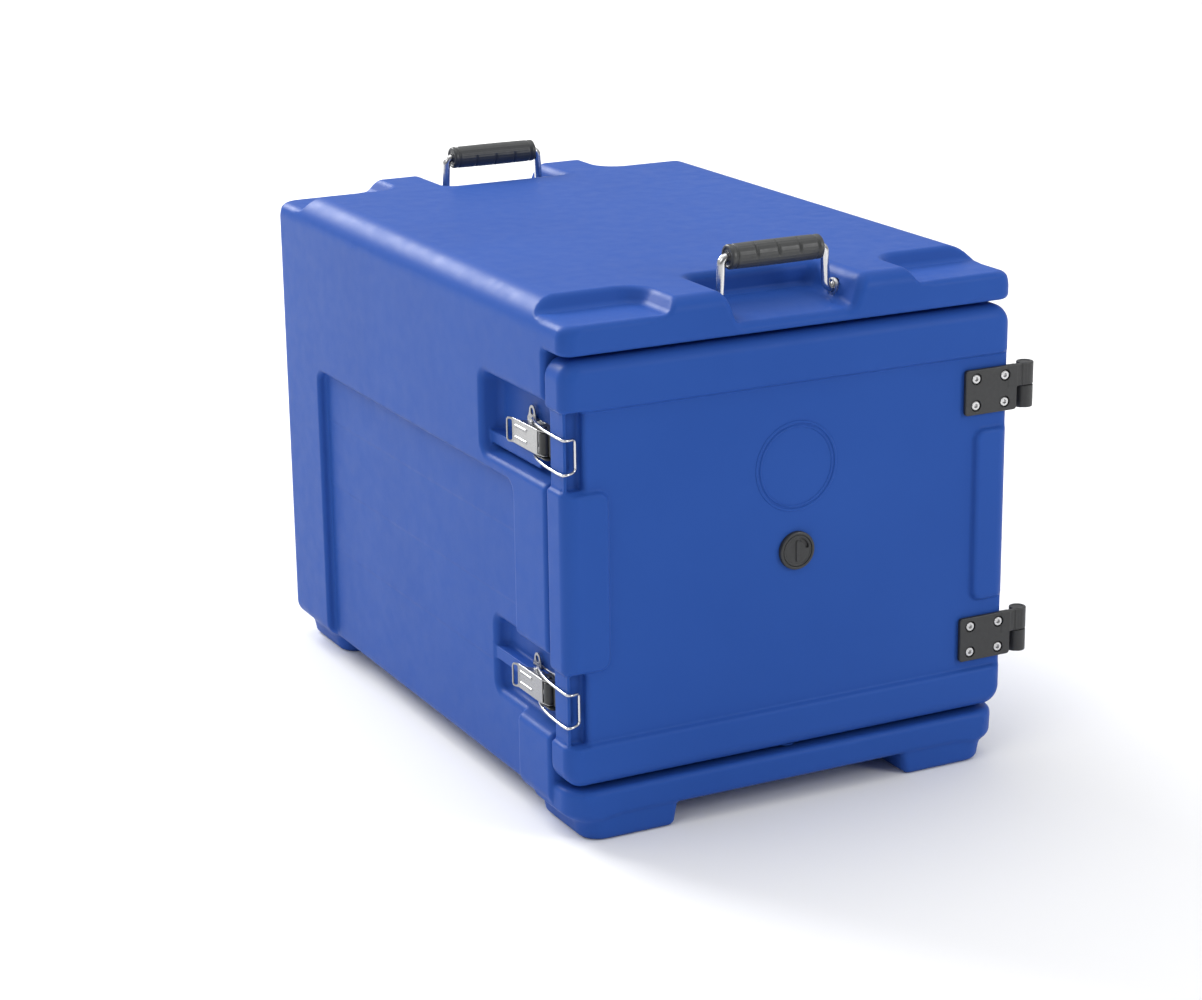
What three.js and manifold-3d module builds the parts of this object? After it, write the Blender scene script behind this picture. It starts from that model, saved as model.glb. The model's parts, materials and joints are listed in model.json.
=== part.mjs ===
// Front-loading insulated food carrier: a foam-filled rotationally moulded box with a side-hinged door,
// two over-centre wire latches, a folding handle at each end of the top and a pressure vent in the door.
// Millimetres. While a piece is drawn, X runs across the front (0 in the middle of the box), Y runs from
// the front face (0) to the back, and Z runs up from the floor. The whole group is centred at the end.
import * as THREE from 'three';
import { mergeVertices } from 'three/addons/utils/BufferGeometryUtils.js';
import Module from 'manifold-3d';

const wasm = await Module();
wasm.setup();

// ---------------------------------------------------------------- driving dimensions
const GAP = 0.3; // between pieces that touch
const PAST = 5; // how far a cutter runs past the face it cuts

const BODY = { halfWidth: 220, depth: 643, height: 465, underside: 21, topRadius: 28, bottomRadius: 15 };
const EDGE_ROUND = 14; // rounding of the front and back edges of the box
const SKIN = 4.5; // polyethylene wall
const RIM_Y = 37; // plane the door closes against
const DOORWAY = { bottom: 46.5, top: 426.5 }; // above the sill, below the brow
const CAVITY = { halfWidth: 168, bottom: 88, top: 382, back: 598, radius: 14 };
const RUNNER = { count: 4, first: 132, pitch: 66, reach: 12, height: 12, front: 62, back: 590 };
const FOOT = { inner: 115, outer: 205, length: 95, setback: 3, radius: 18, round: 5, top: 38 };
const SIDE_PANEL = { front: 102, back: 546, top: 298, depth: 8, radius: 10 };
const STACKING = { inner: 127, length: 63, depth: 13, radius: 12 }; // seats for another carrier's feet
const GRIP_BAY = { topHalf: 66, floorHalf: 55, length: 77, floorBack: 443.5, floorFront: 436 };

const DOOR = { bottom: 50.5, top: 422.5, back: 34.5, radius: 18, round: 13 };
const FIELD = { bottom: 89, top: 379, depth: 5 }; // sunk middle of the door's face
const LEFT_PILASTER = { edge: -178, bottom: 154, top: 310 };
const RIGHT_PILASTER = { edge: 184, bottom: 154, top: 312 };
const PLUG = { halfWidth: 160, bottom: 96, top: 374, front: 15, back: 53, radius: 22, round: 6 };
const GASKET = { inner: 170.5, width: 9, seat: 30, face: 36.7, radius: 16 };
const RING = { x: 3, z: 305, outer: 40, inner: 34, height: 0.8 };

// plugs that close the holes through which the foam is poured
const BODY_FILL = { x: 0, y: 420, radius: 10, flange: 15, thickness: 2.4 };
const DOOR_FILL = { x: 0, y: 17, radius: 6, flange: 8, thickness: 1.4 };

const LATCH_HEIGHTS = { upper: 342.5, lower: 121.5 };
const LATCH_BAY = { floor: 200, back: 160, halfHeight: 34, rise: 4.5, radius: 8 };
const CHANNEL = { side: 216, inner: 199, floorY: 14.5, gap: 2 }; // relief in the door's edge at each latch
const KEEPER = { foot: 212.6, crestInner: 213.8, crestOuter: 215.6, crestY: 8, shoulderY: 11 };
const LEVER_PIVOT = { x: -209.5, y: 56, pin: 1.95, hole: 2.3, pinHalf: 14 };
const BAIL_PIVOT = { x: -207, y: 84, hole: 1.9 };
const LEVER = { tip: 114, start: 60, face: 215, thickness: 1.2, halfHeight: 11, cheekInner: 204.5, hub: 5 };
const LEVER_TIP = { length: 6, out: 3, rim: 1.8, slotHalf: 9.2 }; // the slotted tip turns outwards
const BAIL = { wire: 1.3, bend: 3, inset: 7.6 };
const PLATE = { back: 200.3, front: 201.8, from: 44, to: 106, halfHeight: 12.5, radius: 3 };
const EYE = { y: 92, rise: 18, outer: 5.6, hole: 3, base: 7.5, standOff: 204 }; // padlock eye above each lever
const BLOCK = { from: 45, to: 67, back: 202.1, floor: 203.7, wall: 206.5, face: 214, ear: 13.2, slot: 11.6 };
const RIVET = { rows: [73, 99], head: 4, headHeight: 1.5, depth: 8 };

const HINGE_HEIGHTS = { upper: 347, lower: 118.5 };
const HINGE = { x: 238.5, y: 8, knuckle: 7.75, pin: 3, bore: 3.15, halfHeight: 20.5, end: 17.5 };
const DOOR_LEAF = { inner: 172, outer: 226, face: 0.6, radius: 2 };
const BODY_LEAF = { front: 16, back: 92, outer: 225, radius: 2 };
const SCREW = { head: 4, shank: 2, clearance: 2.35, headDepth: 2.2, length: 15, rise: 12 };
const SCREW_COLUMNS = { door: [183, 213], body: [48, 78] };

const HANDLE = { pivotY: 40, pivotZ: 448, wire: 3.75, gripZ: 485, topX: 50.3, footX: 52, bend: 5, end: 67 };
const GRIP = { halfLength: 45, radius: 11, bore: 4.1, round: 2 };
const BUSH = { outer: 6.5, bore: 4.1, from: 57.3, to: 68 };

const VENT = { x: 3, z: 230, flange: 17, tube: 11.5, bore: 8.5, hole: 12.1, end: 61 };
const VENT_FACE = { front: 1.2, seat: 3.6, chamfer: 0.8 };
const VENT_DIAL = { radius: 13.8, front: 1.5, back: 3.3, barHalf: 9.5, barWidth: 1.6, barFront: 0.5 };
const VENT_SLOT = { inner: 8.4, outer: 11.6, from: 0.15, to: 1.35 }; // radians
const VENT_SEAL = { radius: 15.5, thickness: 1.5 };
const VENT_NUT = { radius: 17.5, thickness: 4.4 };

// solid polyethylene behind the fittings: how far each reaches from the fitting's middle
const BOSS = {
  hinge: 24,
  hingeBack: 92,
  hingeDoor: 168,
  latchDepth: 14,
  latch: 12,
  latchY: [60, 110],
  handle: 16,
};
const HANDLE_BOSS = { from: 50, to: 76 };

const HINGE_SIDE_LIMIT = HINGE.x + HINGE.knuckle; // the knuckles are the widest point on the hinge side

// ---------------------------------------------------------------- materials
const finish = (color, roughness, metalness = 0) => ({ color, roughness, metalness });
const BLUE = finish(0x2a4a9c, 0.45);
const FOAM = finish(0xd9c79a, 0.95);
const STEEL = finish(0xb9bcbf, 0.3, 1);
const BLACK = finish(0x1c1e20, 0.5);
const RUBBER = finish(0x26282a, 0.85);

// ---------------------------------------------------------------- solids
function solid(geometry) {
  const bare = geometry.clone();
  bare.deleteAttribute('normal');
  bare.deleteAttribute('uv');
  const merged = mergeVertices(bare, 1e-4);
  const corners = merged.index.array;
  const kept = [];
  for (let i = 0; i < corners.length; i += 3) {
    const [a, b, c] = [corners[i], corners[i + 1], corners[i + 2]];
    if (a !== b && b !== c && c !== a) kept.push(a, b, c);
  }
  const vertProperties = new Float32Array(merged.attributes.position.array);
  const triVerts = new Uint32Array(kept);
  return new wasm.Manifold(new wasm.Mesh({ numProp: 3, vertProperties, triVerts }));
}

const join = (first, ...others) => others.reduce((sum, next) => sum.add(next), first);
const cut = (first, ...others) => others.reduce((rest, next) => rest.subtract(next), first);

function geometryOf(piece) {
  const { vertProperties, triVerts } = piece.getMesh();
  const geometry = new THREE.BufferGeometry();
  geometry.setAttribute('position', new THREE.BufferAttribute(new Float32Array(vertProperties), 3));
  geometry.setIndex(new THREE.BufferAttribute(new Uint32Array(triVerts), 1));
  geometry.computeVertexNormals();
  return geometry;
}

const carrier = new THREE.Group();

function add(name, piece, look) {
  const mesh = new THREE.Mesh(geometryOf(piece), new THREE.MeshStandardMaterial(look));
  mesh.name = name;
  carrier.add(mesh);
}

// ---------------------------------------------------------------- shapes
function box(x0, x1, y0, y1, z0, z1) {
  const block = new THREE.BoxGeometry(Math.abs(x1 - x0), Math.abs(y1 - y0), Math.abs(z1 - z0));
  return solid(block.translate((x0 + x1) / 2, (y0 + y1) / 2, (z0 + z1) / 2));
}

// points round an arc, from one angle to another
function arc(x, y, radius, from, to, steps) {
  return Array.from({ length: steps + 1 }, (_, i) => {
    const angle = from + ((to - from) * i) / steps;
    return [x + radius * Math.cos(angle), y + radius * Math.sin(angle)];
  });
}

const outline = (points, Kind = THREE.Shape) => new Kind(points.map(([x, y]) => new THREE.Vector2(x, y)));

// a rectangle whose corners are rounded: low left, low right, high right, high left
function roundedRect(xs, ys, radii, Kind = THREE.Shape) {
  const [x0, x1] = [Math.min(...xs), Math.max(...xs)];
  const [y0, y1] = [Math.min(...ys), Math.max(...ys)];
  const [a, b, c, d] = Array.isArray(radii) ? radii : [radii, radii, radii, radii];
  const quarter = Math.PI / 2;
  const corner = (x, y, r, turn) =>
    r > 0 ? arc(x, y, r, turn * quarter, (turn + 1) * quarter, 4) : [[x, y]];
  const points = [
    ...corner(x0 + a, y0 + a, a, 2),
    ...corner(x1 - b, y0 + b, b, 3),
    ...corner(x1 - c, y1 - c, c, 0),
    ...corner(x0 + d, y1 - d, d, 1),
  ];
  return outline(points, Kind);
}

const disc = (x, y, radius, sides = 12, Kind = THREE.Shape) =>
  outline(arc(x, y, radius, 0, 2 * Math.PI, sides).slice(0, sides), Kind);

function annulus(x, y, outer, inner, sides, holeSides = sides) {
  const ring = disc(x, y, outer, sides);
  ring.holes.push(disc(x, y, inner, holeSides, THREE.Path));
  return ring;
}

// a shape drawn in (Y, Z), (X, Z) or (X, Y) and extruded along X, Y or Z
const BASES = {
  x: [new THREE.Vector3(0, 1, 0), new THREE.Vector3(0, 0, 1), new THREE.Vector3(1, 0, 0)],
  y: [new THREE.Vector3(1, 0, 0), new THREE.Vector3(0, 0, 1), new THREE.Vector3(0, -1, 0)],
  z: [new THREE.Vector3(1, 0, 0), new THREE.Vector3(0, 1, 0), new THREE.Vector3(0, 0, 1)],
};

// the extrusion runs between two places along the axis, given in either order, with its ends rounded
function prism(axis, shape, one, other, { round = 0, roundSteps = 3 } = {}) {
  const [from, to] = [Math.min(one, other), Math.max(one, other)];
  const geometry = new THREE.ExtrudeGeometry(shape, {
    depth: to - from - 2 * round,
    bevelEnabled: round > 0,
    bevelThickness: round,
    bevelSize: round,
    bevelOffset: -round,
    bevelSegments: roundSteps,
  });
  geometry.applyMatrix4(new THREE.Matrix4().makeBasis(...BASES[axis]));
  const start = axis === 'y' ? round - to : from + round;
  const shift = BASES[axis][2].clone().multiplyScalar(start);
  return solid(geometry.translate(shift.x, shift.y, shift.z));
}

const rod = (axis, u, v, radius, from, to, sides = 12) => prism(axis, disc(u, v, radius, sides), from, to);

// a turned piece: the profile is [radius, distance along the axis], and the axis is Y through (x, z)
function turnedAlongY(profile, x, z, sides) {
  const points = profile.map(([radius, along]) => new THREE.Vector2(radius, along));
  const lathe = new THREE.LatheGeometry([...points, points[0]], sides);
  return solid(lathe.translate(x, 0, z));
}

const BEND_HANDLE = 0.55; // how far a bend's control points reach to its corner: nearly a circle

// round wire along a chain of straight runs joined by bends
function wire(points, radius, bend, steps, sides) {
  const path = new THREE.CurvePath();
  const corners = points.map((point) => new THREE.Vector3(...point));
  let from = corners[0];
  for (let i = 1; i < corners.length - 1; i += 1) {
    const [before, here, after] = [corners[i - 1], corners[i], corners[i + 1]];
    const size = Math.min(bend, here.distanceTo(before) * 0.45, here.distanceTo(after) * 0.45);
    const enter = here.clone().add(before.clone().sub(here).setLength(size));
    const leave = here.clone().add(after.clone().sub(here).setLength(size));
    const [first, second] = [enter, leave].map((end) => end.clone().lerp(here, BEND_HANDLE));
    path.add(new THREE.LineCurve3(from, enter));
    path.add(new THREE.CubicBezierCurve3(enter, first, second, leave));
    from = leave;
  }
  path.add(new THREE.LineCurve3(from, corners.at(-1)));
  return solid(new THREE.ExtrudeGeometry(disc(0, 0, radius, sides), { steps, extrudePath: path }));
}

const bothSides = (make) => [-1, 1].map(make);
const bothEnds = (make) => ['front', 'rear'].map(make);
const fromEnd = (end, y) => (end === 'front' ? y : BODY.depth - y); // a distance in from either end
const atHeights = (heights, make) => Object.entries(heights).map(([place, z]) => make(z, place));

// ---------------------------------------------------------------- body
const { halfWidth: W, depth: D, height: H, underside: U } = BODY;

// the stacking seats in the four top corners: only the corner that points into the top is rounded
function stackingSeat(side, end, grow) {
  const xs = [side * (STACKING.inner - grow), side * (W + PAST)];
  const ys = [fromEnd(end, -PAST), fromEnd(end, STACKING.length + grow)];
  const rounded = { rear: { '1': 0, '-1': 1 }, front: { '-1': 2, '1': 3 } }[end][side];
  const radii = [0, 1, 2, 3].map((corner) => (corner === rounded ? STACKING.radius : 0));
  return prism('z', roundedRect(xs, ys, radii), H - STACKING.depth - grow, H + PAST);
}

// the open bay each handle stands in: its sides lean out and its floor falls a little to the end
function gripBay(end, grow) {
  const { topHalf, floorHalf, length, floorBack, floorFront } = GRIP_BAY;
  const floor = floorFront - grow;
  const lean = (topHalf - floorHalf) / (H - floorFront);
  const half = (z) => floorHalf + grow + lean * (z - floor);
  const [low, high] = [floor - PAST, H + PAST];
  const section = outline([
    [-half(low), low],
    [half(low), low],
    [half(high), high],
    [-half(high), high],
  ]);
  const ground = outline([
    [fromEnd(end, -2 * PAST), low - PAST],
    [fromEnd(end, length + grow + PAST), low - PAST],
    [fromEnd(end, length + grow + PAST), floorBack - grow],
    [fromEnd(end, length), floorBack - grow],
    [fromEnd(end, 0), floor],
    [fromEnd(end, -2 * PAST), floor],
  ]);
  const bay = prism('y', section, fromEnd(end, -PAST), fromEnd(end, length + grow));
  return cut(bay, prism('x', ground, -W, W));
}

function sidePanel(side, grow) {
  const { front, back, top, depth, radius } = SIDE_PANEL;
  const shape = roundedRect([front - grow, back + grow], [U - PAST, top + grow], [0, 0, radius, radius]);
  return prism('x', shape, side * (W - depth - grow), side * (W + PAST));
}

function latchBay(centre, grow) {
  const { floor, back, halfHeight, rise, radius } = LATCH_BAY;
  const reach = halfHeight + grow;
  const heights = [centre + rise - reach, centre + rise + reach];
  const shape = roundedRect([RIM_Y - PAST, back + grow], heights, [0, radius, radius, 0]);
  return prism('x', shape, -W - PAST, grow - floor);
}

// the outside of the box, moved inwards by inset: the moulded form, its hollow and the foam all use it
function bodyForm(inset) {
  const [low, high] = [BODY.bottomRadius - inset, BODY.topRadius - inset];
  const section = roundedRect([inset - W, W - inset], [U + inset, H - inset], [low, low, high, high]);
  const block = prism('y', section, inset, D - inset, { round: EDGE_ROUND - inset });
  const { bottom, top } = DOORWAY;
  return cut(
    block,
    box(-W - PAST, W + PAST, -PAST, RIM_Y + inset, bottom - inset, top + inset),
    ...bothSides((side) => sidePanel(side, inset)),
    ...bothSides((side) => bothEnds((end) => stackingSeat(side, end, inset))).flat(),
    ...bothEnds((end) => gripBay(end, inset)),
    ...atHeights(LATCH_HEIGHTS, (z) => latchBay(z, inset)),
  );
}

function cavity(grow) {
  const { halfWidth, bottom, top, back, radius } = CAVITY;
  const reach = halfWidth + grow;
  const mouth = roundedRect([-reach, reach], [bottom - grow, top + grow], radius + grow);
  return prism('y', mouth, RIM_Y - PAST, back + grow);
}

function runners() {
  const { count, first, pitch, reach, height, front, back } = RUNNER;
  const heights = Array.from({ length: count }, (_, i) => first + i * pitch);
  const { halfWidth } = CAVITY;
  return heights.flatMap((z) =>
    bothSides((side) => box(side * (halfWidth + 1), side * (halfWidth - reach), front, back, z - height, z)),
  );
}

function foot(side, end) {
  const { inner, outer, length, setback, radius, round, top } = FOOT;
  const ys = [fromEnd(end, setback), fromEnd(end, setback + length)];
  return prism('z', roundedRect([side * inner, side * outer], ys, radius), 0, top, { round, roundSteps: 2 });
}

// solid blocks of polyethylene that back the fittings, left where the foam space would be
function bodyBosses(grow) {
  const hinge = BOSS.hinge + grow;
  const latch = BOSS.latch + grow;
  const handle = BOSS.handle + grow;
  const [latchFront, latchBack] = [BOSS.latchY[0] - grow, BOSS.latchY[1] + grow];
  const latchInner = BOSS.latchDepth + grow - LATCH_BAY.floor;
  const handleBoss = (side, end) => {
    const middle = fromEnd(end, HANDLE.pivotY);
    const [x0, x1] = [side * (HANDLE_BOSS.from - grow), side * (HANDLE_BOSS.to + grow)];
    return box(x0, x1, middle - handle, middle + handle, HANDLE.pivotZ - handle, H);
  };
  return [
    ...atHeights(HINGE_HEIGHTS, (z) => box(W - hinge, W, RIM_Y, BOSS.hingeBack + grow, z - hinge, z + hinge)),
    ...atHeights(LATCH_HEIGHTS, (z) =>
      box(-LATCH_BAY.floor - 1, latchInner, latchFront, latchBack, z - latch, z + latch),
    ),
    ...bothSides((side) => bothEnds((end) => handleBoss(side, end))).flat(),
  ];
}

const screwSpots = (heights, columns) =>
  Object.entries(heights).flatMap(([place, z]) =>
    [-SCREW.rise, SCREW.rise].flatMap((rise) => columns.map((along) => ({ place, along, z: z + rise }))),
  );
const doorScrews = screwSpots(HINGE_HEIGHTS, SCREW_COLUMNS.door);
const bodyScrews = screwSpots(HINGE_HEIGHTS, SCREW_COLUMNS.body);
const rivetSpots = Object.entries(LATCH_HEIGHTS).flatMap(([place, z]) =>
  RIVET.rows.map((y) => ({ place, y, z })),
);

function bodyShell() {
  const feet = bothSides((side) => bothEnds((end) => foot(side, end))).flat();
  const hollow = cut(bodyForm(SKIN), cavity(SKIN), ...bodyBosses(0));
  const { clearance, length } = SCREW;
  const [bayFloor, rivetEnd] = [-LATCH_BAY.floor - 1, RIVET.depth + 1 - LATCH_BAY.floor];
  const bushHole = BUSH.outer + GAP;
  const bushEnd = BUSH.to + GAP;
  return cut(
    join(bodyForm(0), ...feet),
    cut(cavity(0), ...runners()),
    hollow,
    rod('z', BODY_FILL.x, BODY_FILL.y, BODY_FILL.radius + GAP, U - PAST, U + SKIN + PAST, 16),
    ...bodyScrews.map(({ along, z }) => rod('x', along, z, clearance, W - length - 1, W + PAST, 8)),
    ...rivetSpots.map(({ y, z }) => rod('x', y, z, clearance, bayFloor, rivetEnd, 8)),
    ...bothEnds((end) =>
      rod('x', fromEnd(end, HANDLE.pivotY), HANDLE.pivotZ, bushHole, -bushEnd, bushEnd, 16),
    ),
  );
}

function bodyFoam() {
  const inset = SKIN + GAP;
  return cut(bodyForm(inset), cavity(inset), ...bodyBosses(GAP));
}

function fillPlug({ x, y, radius, flange, thickness }, face) {
  const top = face - GAP;
  return join(
    rod('z', x, y, flange, top - thickness, top, 20),
    rod('z', x, y, radius, top - 1, face + SKIN - GAP, 16),
  );
}

// ---------------------------------------------------------------- door
// the relief at each latch; in the outer skin it leaves a low upright ridge for the bail to hook behind
function channelCut(centre, grow) {
  const { side, inner, floorY, gap } = CHANNEL;
  const { foot: ridgeFoot, crestInner, crestOuter, crestY, shoulderY } = KEEPER;
  const high = centre > H / 2;
  const bottom = high ? LEFT_PILASTER.top + gap : FIELD.bottom;
  const top = high ? FIELD.top : LEFT_PILASTER.bottom - gap;
  const ridge = [
    [-ridgeFoot, floorY],
    [-crestInner, crestY],
    [-crestOuter, crestY],
    [-side, shoulderY],
  ];
  const profile = outline([
    [-W - PAST, -PAST],
    [grow - inner, -PAST],
    [grow - inner, floorY + grow],
    ...(grow ? [[grow - side, floorY + grow]] : ridge),
    [grow - side, DOOR.back + PAST],
    [-W - PAST, DOOR.back + PAST],
  ]);
  return prism('z', profile, bottom - grow, top + grow);
}

// the sunk field of the door's face, between the two pilasters
function fieldCut(inset) {
  const deep = FIELD.depth + inset;
  const { edge: leftEdge, bottom: leftBottom, top: leftTop } = LEFT_PILASTER;
  const { edge: rightEdge, bottom: rightBottom, top: rightTop } = RIGHT_PILASTER;
  const beyond = W + 2 * PAST;
  return cut(
    box(-W - PAST, W + PAST, -PAST, deep, FIELD.bottom - inset, FIELD.top + inset),
    box(-beyond, leftEdge - inset, -2 * PAST, deep + 1, leftBottom + inset, leftTop - inset),
    box(rightEdge + inset, beyond, -2 * PAST, deep + 1, rightBottom + inset, rightTop - inset),
  );
}

function doorForm(inset) {
  const { bottom, top, back, radius, round } = DOOR;
  const face = roundedRect([inset - W, W - inset], [bottom + inset, top - inset], radius - inset);
  const slab = cut(
    prism('y', face, inset, back + 2 * round, { round: round - inset }),
    fieldCut(inset),
    ...atHeights(LATCH_HEIGHTS, (z) => channelCut(z, inset)),
    box(-W - PAST, W + PAST, back - inset, D, 0, H),
  );
  const half = PLUG.halfWidth - inset;
  const plugFace = roundedRect([-half, half], [PLUG.bottom + inset, PLUG.top - inset], PLUG.radius - inset);
  const plugRound = { round: PLUG.round - inset, roundSteps: 2 };
  return join(slab, prism('y', plugFace, PLUG.front, PLUG.back - inset, plugRound));
}

function gasketRing(grow) {
  const { inner, width, radius } = GASKET;
  const { halfWidth, bottom, top } = CAVITY;
  const margin = inner - halfWidth;
  const loop = (reach, Kind) => {
    const half = halfWidth + reach;
    return roundedRect([-half, half], [bottom - reach, top + reach], radius + reach - margin, Kind);
  };
  const ring = loop(margin + width + grow);
  ring.holes.push(loop(margin - grow, THREE.Path));
  return ring;
}

const gasketGroove = (grow) => prism('y', gasketRing(grow), GASKET.seat - grow, DOOR.back + PAST);

function doorBosses(grow) {
  const half = BOSS.hinge + grow;
  return [
    ...atHeights(HINGE_HEIGHTS, (z) => box(BOSS.hingeDoor - grow, W, 0, half, z - half, z + half)),
    rod('y', VENT.x, VENT.z, VENT.hole + SKIN + grow, 0, PLUG.back, 20),
  ];
}

function doorShell() {
  const emblem = annulus(RING.x, RING.z, RING.outer, RING.inner, 40);
  const hollow = cut(doorForm(SKIN), gasketGroove(SKIN), ...doorBosses(0));
  const { bottom, back } = DOOR;
  return cut(
    join(doorForm(0), prism('y', emblem, FIELD.depth - RING.height, FIELD.depth + 1)),
    hollow,
    gasketGroove(GAP),
    rod('y', VENT.x, VENT.z, VENT.hole, -PAST, PLUG.back + PAST, 20),
    rod('z', DOOR_FILL.x, DOOR_FILL.y, DOOR_FILL.radius + GAP, bottom - PAST, bottom + SKIN + PAST, 16),
    ...doorScrews.map(({ along, z }) => rod('y', along, z, SCREW.clearance, 0, back / 2 + PAST, 8)),
  );
}

function doorFoam() {
  const inset = SKIN + GAP;
  return cut(doorForm(inset), gasketGroove(inset), ...doorBosses(GAP));
}

// ---------------------------------------------------------------- hinges
const spotsAt = (spots, place) => spots.filter((spot) => spot.place === place);

// the door's leaf lies on the sunk face and carries the upper half of the knuckle
function doorLeaf(z, place) {
  const { x, y, knuckle, bore, halfHeight, end } = HINGE;
  const { inner, outer, face, radius } = DOOR_LEAF;
  const back = FIELD.depth - GAP;
  const sinkEnd = face + SCREW.headDepth;
  return cut(
    join(
      prism('y', roundedRect([inner, outer], [z - halfHeight, z + halfHeight], radius), face, back),
      box(outer - 2, x - 2, face, back, z + GAP, z + halfHeight),
      rod('z', x, y, knuckle, z + GAP, z + halfHeight, 20),
    ),
    rod('z', x, y, bore, z - halfHeight, z + end, 16),
    ...spotsAt(doorScrews, place).flatMap((spot) => [
      rod('y', spot.along, spot.z, SCREW.clearance, -1, back + 1, 8),
      rod('y', spot.along, spot.z, SCREW.head + GAP, -1, sinkEnd),
    ]),
  );
}

// the body's leaf lies on the side wall and carries the lower half of the knuckle
function bodyLeaf(z, place) {
  const { x, y, knuckle, bore, halfHeight, end } = HINGE;
  const { front, back, outer, radius } = BODY_LEAF;
  const inner = W + GAP;
  const sinkStart = outer - SCREW.headDepth;
  const arm = outline([
    [inner, front],
    [x - 5, y - 4.5],
    [x + 1, y + 6.5],
    [outer, front + 6],
    [inner, front + 6],
  ]);
  return cut(
    join(
      prism('x', roundedRect([front, back], [z - halfHeight, z + halfHeight], radius), inner, outer),
      prism('z', arm, z - halfHeight, z - GAP),
      rod('z', x, y, knuckle, z - halfHeight, z - GAP, 20),
    ),
    rod('z', x, y, bore, z - end, z + halfHeight, 16),
    ...spotsAt(bodyScrews, place).flatMap((spot) => [
      rod('x', spot.along, spot.z, SCREW.clearance, inner - 1, outer + 1, 8),
      rod('x', spot.along, spot.z, SCREW.head + GAP, sinkStart, outer + 1),
    ]),
  );
}

const hingePin = (z) => rod('z', HINGE.x, HINGE.y, HINGE.pin, z - HINGE.end + GAP, z + HINGE.end - 1, 16);

// countersunk screws, flush with the leaf
function doorScrew({ along, z }) {
  const { head, headDepth, shank, length } = SCREW;
  const { face } = DOOR_LEAF;
  const seat = face + headDepth - GAP;
  return join(
    rod('y', along, z, head, face, seat),
    rod('y', along, z, shank, seat - 1, FIELD.depth + length, 8),
  );
}

function bodyScrew({ along, z }) {
  const { head, headDepth, shank, length } = SCREW;
  const { outer } = BODY_LEAF;
  const seat = outer - headDepth + GAP;
  return join(rod('x', along, z, head, seat, outer), rod('x', along, z, shank, W - length, seat + 1, 8));
}

// ---------------------------------------------------------------- latches
// steel back plate on the floor of the recess, with a padlock eye that stands off the wall above it
function latchPlate(z, place) {
  const { back, front, from, to, halfHeight, radius } = PLATE;
  const { y, rise, outer, hole, base, standOff } = EYE;
  const thickness = front - back;
  const [low, high] = [z + halfHeight - thickness, z + halfHeight];
  const tabInner = thickness - standOff;
  const tab = outline([
    [y + base, low],
    ...arc(y, z + rise, outer, 0.08 * Math.PI, 0.92 * Math.PI, 10),
    [y - base, low],
  ]);
  return cut(
    join(
      prism('x', roundedRect([from, to], [z - halfHeight, high], radius), -front, -back),
      box(-standOff, -back, y - base, y + base, low, high),
      prism('x', tab, -standOff, tabInner),
    ),
    rod('x', y, z + rise, hole, -standOff - 1, tabInner + 1, 16),
    ...spotsAt(rivetSpots, place).map((spot) =>
      rod('x', spot.y, z, SCREW.clearance, -front - 1, 1 - back, 8),
    ),
  );
}

// moulded pivot block: two ears either side of the lever, joined by a floor and a low front wall
function latchBlock(z) {
  const { from, to, back, floor, wall, face, ear, slot } = BLOCK;
  const hubClear = LEVER_PIVOT.y - LEVER.hub - 1;
  return cut(
    prism('x', roundedRect([from, to], [z - ear, z + ear], [5, 2, 2, 5]), -face, -back),
    box(-face - 1, -wall, from - 1, to + 1, z - slot, z + slot),
    box(-face - 1, -floor, hubClear, to + 1, z - slot, z + slot),
    rod('z', LEVER_PIVOT.x, LEVER_PIVOT.y, LEVER_PIVOT.pin + GAP, z - ear - 1, z + ear + 1),
  );
}

// pressed lever: a flat face with a slotted tip, and a cheek on each edge for the pivot and the bail
function latchLever(z) {
  const { tip, start, face, thickness, halfHeight, cheekInner, hub } = LEVER;
  const back = thickness - face;
  const { length, out, rim, slotHalf } = LEVER_TIP;
  const side = outline([
    [-face, start],
    [back, start],
    [back, tip - length],
    [back - out, tip],
    [-face - out, tip],
    [-face, tip - length],
  ]);
  const middle = (back - face) / 2;
  const cheek = outline([
    [middle, start],
    ...arc(LEVER_PIVOT.x, LEVER_PIVOT.y, hub, 0.7 * Math.PI, 2 * Math.PI, 8),
    [-cheekInner, BAIL_PIVOT.y],
    [-cheekInner - 2, BAIL_PIVOT.y + 6],
    [middle, BAIL_PIVOT.y + 14],
  ]);
  const cheeks = bothSides((up) => prism('z', cheek, z + up * halfHeight, z + up * (halfHeight - thickness)));
  const through = halfHeight + 1;
  return cut(
    join(prism('z', side, z - halfHeight, z + halfHeight), ...cheeks),
    rod('z', LEVER_PIVOT.x, LEVER_PIVOT.y, LEVER_PIVOT.hole, z - through, z + through),
    rod('z', BAIL_PIVOT.x, BAIL_PIVOT.y, BAIL_PIVOT.hole, z - through, z + through),
    box(-face - out - 1, back + 1, tip - length, tip - rim, z - slotHalf, z + slotHalf),
  );
}

const latchPin = (z) => {
  const { x, y, pin, pinHalf } = LEVER_PIVOT;
  return rod('z', x, y, pin, z - pinHalf, z + pinHalf);
};

// spring wire loop: from the lever's cheeks along the side of the box and round the door's corner
function latchBail(z) {
  const { wire: radius, bend, inset } = BAIL;
  const half = [
    [BAIL_PIVOT.x, BAIL_PIVOT.y, inset],
    [BAIL_PIVOT.x, BAIL_PIVOT.y, 15.2],
    [-213.2, 66, 15.2],
    [-217, 44, 15.2],
    [-218.4, 12, 15.2],
    [-217.6, 5.2, 14.9],
    [-213.5, 4.9, 14.4],
    [-205, 9.6, 14],
  ];
  const upper = half.map(([x, y, rise]) => [x, y, z + rise]);
  const lower = half.map(([x, y, rise]) => [x, y, z - rise]).reverse();
  return wire([...upper, ...lower], radius, bend, 72, 6);
}

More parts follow.
